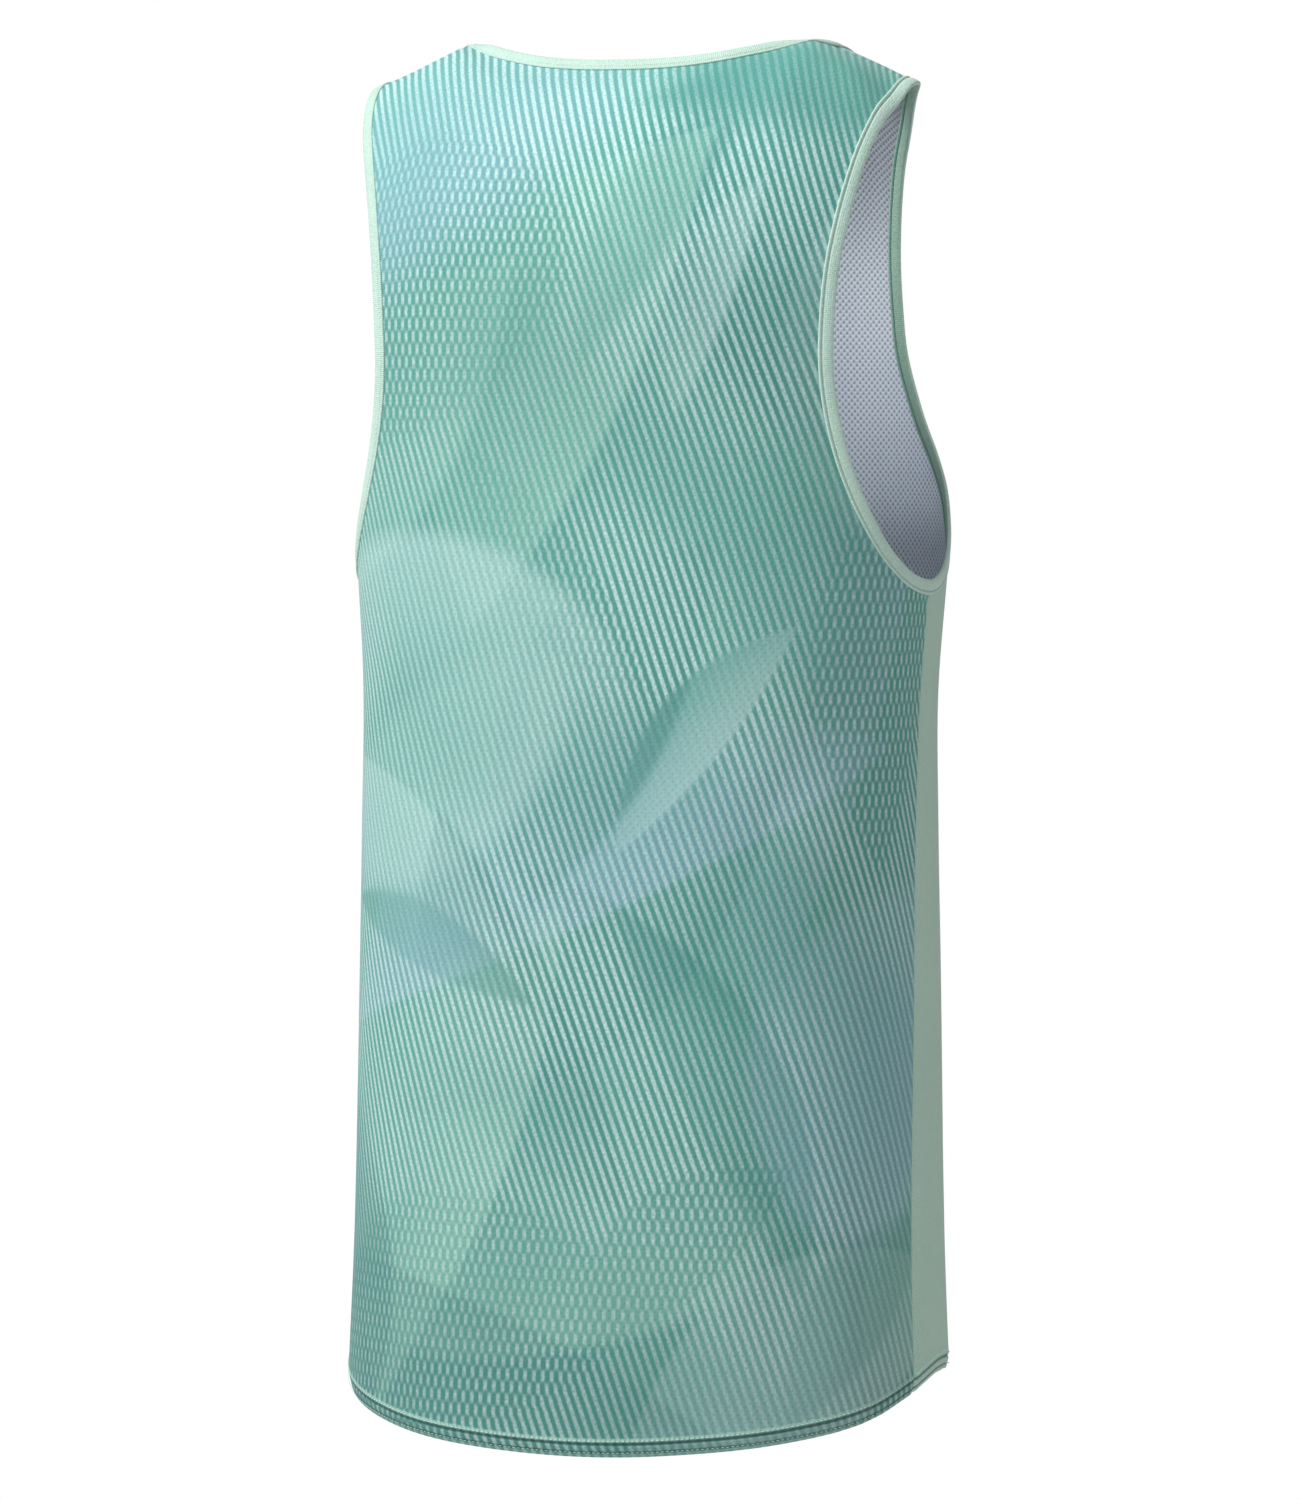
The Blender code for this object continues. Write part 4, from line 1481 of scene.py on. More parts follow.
@dataclass(frozen=True)
class SpunThread:
    """Sewing thread with a fine twist along it."""

    colour: tuple[float, ...]
    shade: tuple[float, ...]
    twist_scale: float = 900.0
    distortion: float = 1.0
    fibres: Ramp = Ramp(0.2, 0.9)
    roughness: float = 0.55
    sheen: float = 0.2

    def build(self, name: str) -> Material:
        """Makes the material.

        Args:
            name: Name of the material.

        Returns:
            The material.
        """
        material, graph, shader = new_material(name)
        place = graph.add("ShaderNodeTexCoord").outputs["Object"]
        waves = {"Vector": place, "Scale": self.twist_scale, "Distortion": self.distortion}
        twist = graph.add("ShaderNodeTexWave", waves)
        fibre = graph.ease(twist.outputs["Fac"], *self.fibres)
        dye = graph.mix(fibre, self.shade, self.colour)
        look = {"Base Color": dye, "Roughness": self.roughness, "Sheen Weight": self.sheen}
        graph.feed(shader, look)
        return material


class Finish(Enum):
    """Materials of the singlet, by name."""

    BACK_PRINT = "printed_knit_back"
    FRONT_PRINT = "printed_knit_front"
    INSIDE = "inside_knit"
    SIDE = "side_knit"
    BINDING = "binding_knit"
    # Darker copy of the binding knit: painted shade.
    BINDING_INSIDE_PAINTED_SHADE = "binding_knit_inside"
    THREAD = "mint_thread"
    LOOPS = "teal_thread"


def build_finishes() -> dict[Finish, Material]:
    """Makes all the materials.

    Returns:
        The material of each finish.
    """
    pale, dark, bright = srgb(224, 235, 250), srgb(138, 146, 160), srgb(246, 252, 255)
    sage, sage_hole, sage_lift = srgb(176, 206, 190), srgb(148, 180, 165), srgb(186, 214, 199)
    looks = {
        Finish.BACK_PRINT: PrintedKnit(turned=False),
        Finish.FRONT_PRINT: PrintedKnit(turned=True),
        # The inside knit is given painted shade at its top and below the armholes.
        Finish.INSIDE: PlainKnit(pale, dark, bright, 0.75, pitch=0.0038, painted_top_shade=0.42, painted_low_shade=0.70),
        Finish.SIDE: PlainKnit(sage, sage_hole, sage_lift, 0.16, pitch=0.0024, hemmed=True),
        Finish.BINDING: RibKnit(srgb(196, 222, 211), srgb(166, 200, 184)),
        # Darker copy of the binding knit for the strip's under side: painted shade.
        Finish.BINDING_INSIDE_PAINTED_SHADE: RibKnit(srgb(160, 190, 172), srgb(126, 164, 148)),
        Finish.THREAD: SpunThread(srgb(196, 228, 216), srgb(150, 192, 178)),
        Finish.LOOPS: SpunThread(srgb(104, 164, 148), srgb(72, 132, 118)),
    }
    return {finish: look.build(finish.value) for finish, look in looks.items()}


def link(mesh: Mesh, name: str) -> Object:
    """Puts a mesh in the scene as an object at the origin.

    Args:
        mesh: Mesh to show.
        name: Name of the object.

    Returns:
        The object.
    """
    obj = bpy.data.objects.new(name, mesh)
    bpy.context.scene.collection.objects.link(obj)
    return obj


def join(piece: Object, nodes: Sequence[str] = ()) -> None:
    """Rides a finished piece on the body, and hides the solids of the nodes that it stands for.

    Args:
        piece: Finished piece.
        nodes: Nodes of the solids that it stands for.
    """
    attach(piece, BODY)
    if nodes:
        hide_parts(*nodes)
    LOG.info("%s: %d faces", piece.name, len(piece.data.polygons))


def set_uv(mesh: Mesh, name: str, corners: Array) -> None:
    """Writes a UV map from one place for each face corner."""
    layer = mesh.uv_layers.new(name=name)
    layer.uv.foreach_set("vector", corners.astype(np.float32).ravel())


class ClothGrid(NamedTuple):
    """What is known at each point of a grid of cloth, columns by rows."""

    points: Array
    normals: Array
    uv: Array
    from_seam: Array
    from_shoulder: Array
    above_hem: Array


@dataclass
class Shell:
    """Cloth with a wall, made a closed mesh. Its cells tell where the grid is cloth."""

    cloth: ClothGrid
    cells: Array
    margin: float = 0.01
    sharp_angle: float = math.radians(50)

    def faces(self) -> tuple[Array, ...]:
        """Corners of the faces of the outer skin, of the inner one and of the walls between them.

        Returns:
            Three arrays, with the four corners of a face in each row.
        """
        columns, rows = self.cells.shape[0] + 1, self.cells.shape[1] + 1
        below = columns * rows
        number = np.arange(below).reshape(columns, rows)
        quads = np.stack([number[:-1, :-1], number[1:, :-1], number[1:, 1:], number[:-1, 1:]], axis=-1)
        outer = quads[self.cells]
        sides = np.concatenate([outer[:, (k, (k + 1) % 4)] for k in range(4)]).tolist()
        known = set(map(tuple, sides))
        start, end = np.array([side for side in sides if (side[1], side[0]) not in known]).T
        return outer, outer[:, ::-1] + below, np.stack([end, start, start + below, end + below], axis=1)

    def bake_places(self, corners: Array, skin: Array) -> Array:
        """Lays the two skins side by side in the unit square.

        Args:
            corners: Place on the flat cloth of each corner of each face.
            skin: 1 for the faces of the inner skin.

        Returns:
            Places in the unit square, of the corners' shape.
        """
        low, high = corners.min(axis=(0, 1)), corners.max(axis=(0, 1))
        width, height = high - low
        scale = (1 - 3 * self.margin) / max(2 * width, height)
        placed = (corners - low) * scale + self.margin
        placed[skin == 1, :, 0] += width * scale + self.margin
        return placed

    def build(self, name: str, outside: Array, inside: Array) -> Object:
        """Makes the closed shell.

        Args:
            name: Name of the object.
            outside: Height of the outer skin over the form, for each point.
            inside: Height of the inner skin, below the outer one.

        Returns:
            The object. Its outer skin and rim have material 0 and its inner skin 1.
        """
        cloth, groups = self.cloth, self.faces()
        faces = np.concatenate(groups)
        heights = (outside, inside)
        skins = [(cloth.points + cloth.normals * lift[..., None]).reshape(-1, 3) for lift in heights]
        used, packed = np.unique(faces, return_inverse=True)
        mesh = bpy.data.meshes.new(name)
        mesh.from_pydata(np.concatenate(skins)[used].tolist(), [], packed.reshape(-1, 4).tolist())
        skin = np.repeat([0, 1, 0], [len(group) for group in groups]).astype(np.int32)
        mesh.polygons.foreach_set("material_index", skin)
        places = faces % len(skins[0])
        corners = cloth.uv.reshape(-1, 2)[places]
        edges = np.stack([cloth.above_hem, cloth.from_seam], axis=-1).reshape(-1, 2)
        set_uv(mesh, "cloth", corners)
        set_uv(mesh, "edges", edges[places])
        set_uv(mesh, "OFBake", self.bake_places(corners, skin))
        mesh.uv_layers.active = mesh.uv_layers["cloth"]
        mesh.shade_smooth()
        mesh.set_sharp_from_angle(angle=self.sharp_angle)
        return link(mesh, name)


@dataclass(frozen=True)
class Hem:
    """Turned hem: heights over the cloth by distance above its edge."""

    turn_up: float = 0.0085
    turn_drop: float = 1.5 * MM
    roll: float = 0.0016
    roll_drop: float = 0.5 * MM
    band: float = 0.35 * MM
    band_step: float = 1.5 * MM
    low_groove: float = 0.0022
    low_groove_depth: float = 0.45 * MM
    low_groove_width: float = 0.6 * MM
    high_groove: float = 0.0064
    high_groove_depth: float = 0.55 * MM
    high_groove_width: float = 0.7 * MM
    needle: float = 0.0083
    ridge: float = 0.22 * MM
    ridge_width: float = 1.2 * MM
    fold_gain: float = 1.1
    fold_step: float = 0.8 * MM
    rolled_share: float = 0.45

    def lift(self, above: Array) -> Array:
        """Height of the outer skin over the plain cloth.

        Args:
            above: Distance above the edge.

        Returns:
            Height at each place.
        """
        band = self.band * eased((self.high_groove - above) / self.band_step + 0.5)
        low = self.low_groove_depth * bump(above - self.low_groove, self.low_groove_width)
        high = self.high_groove_depth * bump(above - self.high_groove, self.high_groove_width)
        ridge = self.ridge * bump(above - self.needle, self.ridge_width)
        rolled = self.roll_drop * (1 - eased(above / self.roll))
        return band - (low + high) + ridge - (rolled + self.turn_drop * (1 - eased(above / self.turn_up)))

    def wall(self, above: Array, cloth: float) -> Array:
        """Thickness of the cloth, double where it is turned up and thin at the rolled edge."""
        doubled = cloth * (1 + self.fold_gain * eased((self.turn_up - above) / self.fold_step + 0.5))
        return doubled * (self.rolled_share + (1 - self.rolled_share) * eased(above / self.roll))


@dataclass(frozen=True)
class Seam:
    """Sunk line where two panels meet, with a low ridge beside it."""

    sink: float = 0.75 * MM
    sink_width: float = 1.2 * MM
    ridge: float = 0.30 * MM
    ridge_place: float = 3 * MM
    ridge_width: float = 2.5 * MM

    def lift(self, distance: Array) -> Array:
        """Height of the outer skin over the plain cloth, by distance from the seam."""
        ridge = self.ridge * bump(distance - self.ridge_place, self.ridge_width)
        return ridge - self.sink * bump(distance, self.sink_width)


HEM_SHAPE = Hem()
SEAM_SHAPE = Seam()

BACK_CREASES = (
    Crease((-0.165, -0.290), (-0.060, -0.400), 0.016, -0.0011),
    Crease((0.170, -0.300), (0.075, -0.430), 0.018, -0.0012),
    Crease((-0.130, -0.560), (-0.085, -0.700), 0.016, 0.0012),
    Crease((0.100, -0.500), (0.120, -0.700), 0.020, -0.0013),
    Crease((0.010, -0.600), (-0.005, -0.715), 0.018, 0.0010),
    Crease((-0.105, 0.020), (-0.080, -0.090), 0.012, -0.0007),
)
FRONT_CREASES = (
    Crease((-0.150, -0.300), (-0.055, -0.390), 0.016, -0.0013),
    Crease((0.155, -0.290), (0.045, -0.410), 0.018, -0.0011),
    Crease((0.060, -0.520), (0.095, -0.690), 0.018, 0.0013),
    Crease((-0.090, -0.540), (-0.120, -0.695), 0.018, -0.0012),
    Crease((-0.020, -0.110), (0.015, -0.240), 0.020, -0.0008),
)


# A crease fades towards its two ends: how steeply, and the place on the fade where it stops.
CREASE_TAPER = 2.5
CREASE_END = 0.15


def crease_lift(creases: Sequence[Crease], uv: Array) -> Array:
    """How far a panel's creases move its cloth.

    Args:
        creases: Creases of the panel.
        uv: Places on the flat cloth, in the last axis.

    Returns:
        Distance outwards at each place.
    """
    lift = np.zeros(uv.shape[:-1])
    for crease in creases:
        start, end = np.array(crease.start), np.array(crease.end)
        way = end - start
        t = np.clip(((uv - start) @ way) / (way @ way), 0, 1)
        off = np.linalg.norm(uv - start - t[..., None] * way, axis=-1)
        kept = eased(CREASE_TAPER * np.minimum(t, 1 - t) + CREASE_END)
        lift += crease.depth * bump(off, crease.width) * kept
    return lift


class Run(NamedTuple):
    """Columns or an edge of one half of a face, as a part of a longer way."""

    face: Face
    hand: int
    backwards: bool


HANDS = {"left": 1, "right": -1}
NECK_RUNS = (
    Run(Face.BACK, 1, False),
    Run(Face.BACK, -1, True),
    Run(Face.FRONT, -1, False),
    Run(Face.FRONT, 1, True),
)
HEM_RUNS = (
    Run(Face.BACK, 1, False),
    Run(Face.FRONT, 1, True),
    Run(Face.FRONT, -1, False),
    Run(Face.BACK, -1, True),
)


def side_runs(hand: int) -> tuple[Run, Run]:
    """Way round one side, from the back to the front."""
    return Run(Face.BACK, hand, False), Run(Face.FRONT, hand, True)


class FlatSize(NamedTuple):
    """Flat size of a panel: its width and length, and the area of its cloth."""

    width: float
    length: float
    area: float


BACK_FLAT = FlatSize(0.418, 0.778, 0.260)
FRONT_FLAT = FlatSize(0.361, 0.767, 0.208)
SIDE_FLAT = FlatSize(0.078, 0.427, 0.0248)


@dataclass
class Panel:
    """Cut piece of cloth: a thin shell on the fine grid of some columns of the form."""

    node: str
    slot: str
    finish: Finish
    runs: tuple[Run, ...]
    first_column: int
    last_column: int
    flat: FlatSize
    creases: tuple[Crease, ...] = ()
    cloth: float = 0.0006
    column_parts: int = 4
    near_seam: tuple[float, ...] = (-0.12, -0.06, 0.06, 0.12)
    hem_parts: tuple[int, int] = (20, 3)
    body_parts: int = 6
    yoke_parts: int = 4
    seam_end: float = 0.02
    yoke_stretch: float = 1.1

    def fine_rows(self) -> Array:
        """Fine places between the coarse rows, closest in the hem."""
        cuts = [*self.hem_parts] + [self.body_parts] * (ARM_ROW - HEM_ROW)
        return stops_between(cuts + [self.yoke_parts] * (TOP_ROW - ARM_ROW))

    def fine_columns(self) -> Array:
        """Fine places between the coarse columns, closest at the side seam.

        Returns:
            Places, counted in coarse columns.
        """
        places = stops_between([self.column_parts] * (self.last_column - self.first_column))
        near = SEAM_COLUMN + np.array(self.near_seam)
        near = near[(near > self.first_column) & (near < self.last_column)]
        return np.unique(np.concatenate([self.first_column + places, near]))

    def read(self, run: Run) -> tuple[ClothGrid, Array]:
        """Reads the panel's columns on one half of a face.

        Args:
            run: Face, half, and whether the columns run back to the centre line.

        Returns:
            The cloth at each point of the grid, and which cells between the points are cloth.
        """
        face, hand, backwards = run
        columns, rows = self.fine_columns(), self.fine_rows()
        knots = read_between(GRIDS[face], columns, rows)
        share, rise = knots[..., 0], knots[..., 1]
        points, normals = FORM.surface(face, hand, knots)
        uv = CLOTH_MAP.place(face, hand, knots)
        girth = FORM.girth(face, rise)
        if self.finish is Finish.SIDE:
            uv[..., 0] = (share - 1) * girth * face.outward
        from_seam = np.abs(share - FORM.seam_share(face, rise)) * girth
        from_seam = np.where(rise < FORM.armhole_bottom + self.seam_end, from_seam, 1.0)
        from_shoulder = (FORM.top_rise - rise) * self.yoke_stretch
        above_hem = rise - FORM.hem_height(face, share)
        cloth = ClothGrid(points, normals, uv, from_seam, from_shoulder, above_hem)
        beside, up = (((places[1:] + places[:-1]) / 2).astype(int) for places in (columns, rows))
        grid = CoarseGrid(face)
        cells = np.array([[grid.has_cell(c, r) for r in up] for c in beside])
        if backwards:
            return ClothGrid(*(values[::-1] for values in cloth)), cells[::-1]
        return cloth, cells

    def build(self, finishes: dict[Finish, Material]) -> Object:
        """Makes the panel.

        Args:
            finishes: Materials to dress it with.

        Returns:
            The panel, with its faces turned outwards.
        """
        cloths, cells = zip(*(self.read(run) for run in self.runs))
        joined = ([first, *(part[1:] for part in rest)] for first, *rest in zip(*cloths))
        cloth = ClothGrid(*map(np.concatenate, joined))
        lift = HEM_SHAPE.lift(cloth.above_hem) + crease_lift(self.creases, cloth.uv)
        lift += SEAM_SHAPE.lift(cloth.from_seam)
        lift += SEAM_SHAPE.lift(cloth.from_shoulder)
        wall = HEM_SHAPE.wall(cloth.above_hem, self.cloth)
        piece = Shell(cloth, np.concatenate(cells)).build(f"{self.node}_cloth", lift, lift - wall)
        inner = self.finish if self.finish is Finish.SIDE else Finish.INSIDE
        for finish in (self.finish, inner):
            piece.data.materials.append(finishes[finish])
        orient(piece)
        return piece


def orient(piece: Object) -> None:
    """Turns the faces of a closed piece outwards.

    Args:
        piece: Piece to change in place.
    """
    mesh = bmesh.new()
    mesh.from_mesh(piece.data)
    bmesh.ops.recalc_face_normals(mesh, faces=mesh.faces)
    mesh.to_mesh(piece.data)
    mesh.free()


def smoothed_loop(values: Array, passes: int = 40, give: float = 0.5, take: float = -0.52) -> Array:
    """A closed loop of rows without its small kinks, its large curves kept.

    Args:
        values: Rows of the loop, in the first axis.
        passes: Number of pairs of steps.
        give: Share of the way to its neighbours' middle that a row goes in a first step.
        take: Share that it goes in a second step, which undoes the shrinking.

    Returns:
        The smoothed rows.
    """
    for step in [give, take] * passes:
        middle = (np.roll(values, 1, axis=0) + np.roll(values, -1, axis=0)) / 2
        values = values + (middle - values) * step
    return values


def walk(runs: Sequence[Run], knots: dict[Face, Array]) -> tuple[Array, Array]:
    """Points and normals of the form along a closed way.

    Args:
        runs: Parts of the way, in order.
        knots: Knots along the way on each face, in the first axis.

    Returns:
        Points and normals, with the way in the first axis.
    """
    points, normals = [], []
    for face, hand, backwards in runs:
        at, normal = FORM.surface(face, hand, knots[face][:: -1 if backwards else 1])
        points.append(at[:-1])
        normals.append(normal[:-1])
    return np.concatenate(points), np.concatenate(normals)


# Distances from a raw edge where the cloth beside it is read, in mm.
BAND_STATIONS = (0.0, 1.0, 2.2, 3.4, 4.4, 5.2, 5.6, 6.1, 6.8, 7.5)


class EdgeBand:
    """Cloth beside a raw edge, read at several distances from it."""

    def __init__(self, lines: dict[Face, Array], inward: int, samples: int) -> None:
        """Reads the knots beside the edge.

        Args:
            lines: Knots along the edge, on each face.
            inward: Side of the lines that the cloth is on, 1 for left and -1 for right.
            samples: Number of parts of each line.
        """
        self.knots: dict[Face, Array] = {}
        for face, line in lines.items():
            line = FORM.evenly(face, line, samples)
            headings = np.gradient(line, axis=0) * inward
            rows = [line]
            for before, after in zip(BAND_STATIONS, BAND_STATIONS[1:]):
                rows.append(FORM.stepped_in(face, rows[-1], headings, (after - before) * MM))
            self.knots[face] = np.stack(rows, axis=1)

    def loop(self, runs: Sequence[Run]) -> tuple[Array, Array]:
        """Points and normals along a closed loop, samples by stations."""
        points, normals = walk(runs, self.knots)
        return smoothed_loop(points), unit(smoothed_loop(normals))


class ProfilePoint(NamedTuple):
    """Corner of the binding's profile: from the raw edge into the cloth, and over the cloth, in mm."""

    inward: float
    height: float


BINDING_PROFILE = (
    ProfilePoint(7.30, -0.10),
    ProfilePoint(7.45, 0.30),
    ProfilePoint(7.25, 0.72),
    ProfilePoint(6.65, 0.92),
    ProfilePoint(6.05, 0.74),
    ProfilePoint(5.75, 0.16),
    ProfilePoint(5.40, 0.14),
    ProfilePoint(5.05, 0.62),
    ProfilePoint(4.30, 0.86),
    ProfilePoint(2.80, 0.98),
    ProfilePoint(1.20, 0.96),
    ProfilePoint(0.15, 0.78),
    ProfilePoint(-0.50, 0.42),
)


class Stitch(NamedTuple):
    """Stitch of a row, in mm: pitch, length, thread radius, and the angle that it leans by in turn."""

    pitch: float
    length: float
    radius: float
    slant: float = 0.0


class SeamRow(NamedTuple):
    """Row of stitches: how far inside the edge and over the cloth it runs, in mm, and its thread."""

    inward: float
    height: float
    thread: Finish
    stitch: Stitch


Trace = Callable[[SeamRow], tuple[Array, Array]]

BINDING_ROWS = (
    SeamRow(5.58, 0.20, Finish.THREAD, Stitch(2.7, 2.2, 0.16)),
    SeamRow(5.60, -1.22, Finish.LOOPS, Stitch(0.9, 2.3, 0.36, slant=0.6)),
)
HEM_ROWS = (
    SeamRow(8.3, 0.30, Finish.THREAD, Stitch(2.6, 2.2, 0.30)),
    SeamRow(2.4, 0.05, Finish.THREAD, Stitch(2.6, 2.0, 0.16)),
    SeamRow(8.1, -1.30, Finish.LOOPS, Stitch(1.5, 3.8, 0.17, slant=1.2)),
)


@dataclass
class Binding:
    """Folded strip round a raw edge, with a narrow roll, a sunk needle line and a wide band.

    Places across the strip are in mm: inward from the raw edge into the cloth, and height over it.
    """

    node: str
    band: EdgeBand
    runs: tuple[Run, ...]
    cloth: float = 0.6
    nose: float = 0.80
    slot_depth: float = 0.4
    slot_gap: float = 0.04
    flat_width: float = 0.022
    measured_station: int = 5
    stitched_station: int = 6
    sharp_angle: float = math.radians(75)

    def __post_init__(self) -> None:
        """Reads the cloth beside the edge."""
        self.points, self.normals = self.band.loop(self.runs)
        ahead = self.points[:, 0] - self.points[:, 1]
        normal = self.normals[:, 0]
        self.beyond = unit(ahead - normal * (ahead * normal).sum(axis=1, keepdims=True))

    def at(self, inward: float, height: float) -> Array:
        """Points all along the edge, at one place across the strip.

        Args:
            inward: Distance from the raw edge into the cloth.
            height: Height over the cloth.

        Returns:
            A point for each sample of the edge.
        """
        place = np.clip(inward, BAND_STATIONS[0], BAND_STATIONS[-1])
        station = np.searchsorted(BAND_STATIONS, place, side="right") - 1
        k = int(np.clip(station, 0, len(BAND_STATIONS) - 2))
        t = (place - BAND_STATIONS[k]) / (BAND_STATIONS[k + 1] - BAND_STATIONS[k])
        points = self.points[:, k] * (1 - t) + self.points[:, k + 1] * t
        normals = unit(self.normals[:, k] * (1 - t) + self.normals[:, k + 1] * t)
        return points + normals * height * MM + self.beyond * (place - inward) * MM

    def trace(self, row: SeamRow) -> tuple[Array, Array]:
        """Path of a row of stitches, and the direction out of the cloth along it."""
        return self.at(row.inward, row.height), self.normals[:, self.stitched_station]

    def length(self) -> float:
        """Length of the strip along its middle."""
        middle = self.points[:, self.measured_station]
        return float(np.linalg.norm(np.diff(middle, axis=0), axis=1).sum())

    def profile(self) -> list[tuple[float, float]]:
        """Corners of the closed profile, over the cloth, round the nose, under it and back.

        Returns:
            Distance inwards and height of each corner.
        """
        middle = -self.cloth / 2
        under = [(inward, 2 * middle - height) for inward, height in reversed(BINDING_PROFILE)]
        slot = [(self.slot_depth, 2 * middle + self.slot_gap), (self.slot_depth, -self.slot_gap)]
        return [*BINDING_PROFILE, (-self.nose, middle), *under, *slot]

    def build(self, finishes: dict[Finish, Material]) -> Object:
        """Makes the strip.

        Args:
            finishes: Materials to dress it with.

        Returns:
            The strip, with its faces turned outwards.
        """
        corners = self.profile()
        rings = np.stack([self.at(*corner) for corner in corners], axis=1)
        samples, count = rings.shape[:2]
        number = np.arange(samples * count).reshape(samples, count)
        steps = ((0, 0), (1, 0), (1, 1), (0, 1))
        faces = np.stack([np.roll(number, (-i, -j), axis=(0, 1)) for i, j in steps], axis=-1)
        mesh = bpy.data.meshes.new(self.node)
        mesh.from_pydata(rings.reshape(-1, 3).tolist(), [], faces.reshape(-1, 4).tolist())
        lengths = np.linalg.norm(np.roll(rings[:, 0], -1, axis=0) - rings[:, 0], axis=1)
        sides = [math.dist(a, b) * MM for a, b in zip(corners, corners[1:] + corners[:1])]
        along, across = run_up(lengths), run_up(sides)
        s, c = np.meshgrid(np.arange(samples), np.arange(count), indexing="ij")
        uv = np.stack([(along[s + i], across[c + j]) for i, j in steps])
        set_uv(mesh, "cloth", uv.transpose(2, 3, 0, 1))
        skin = np.tile(np.arange(count) > len(BINDING_PROFILE), samples)
        mesh.polygons.foreach_set("material_index", skin.astype(np.int32))
        mesh.shade_smooth()
        mesh.set_sharp_from_angle(angle=self.sharp_angle)
        # The strip's under side gets the darker copy of the binding knit: painted shade.
        for finish in (Finish.BINDING, Finish.BINDING_INSIDE_PAINTED_SHADE):
            mesh.materials.append(finishes[finish])
        piece = link(mesh, f"{self.node}_strip")
        orient(piece)
        return piece


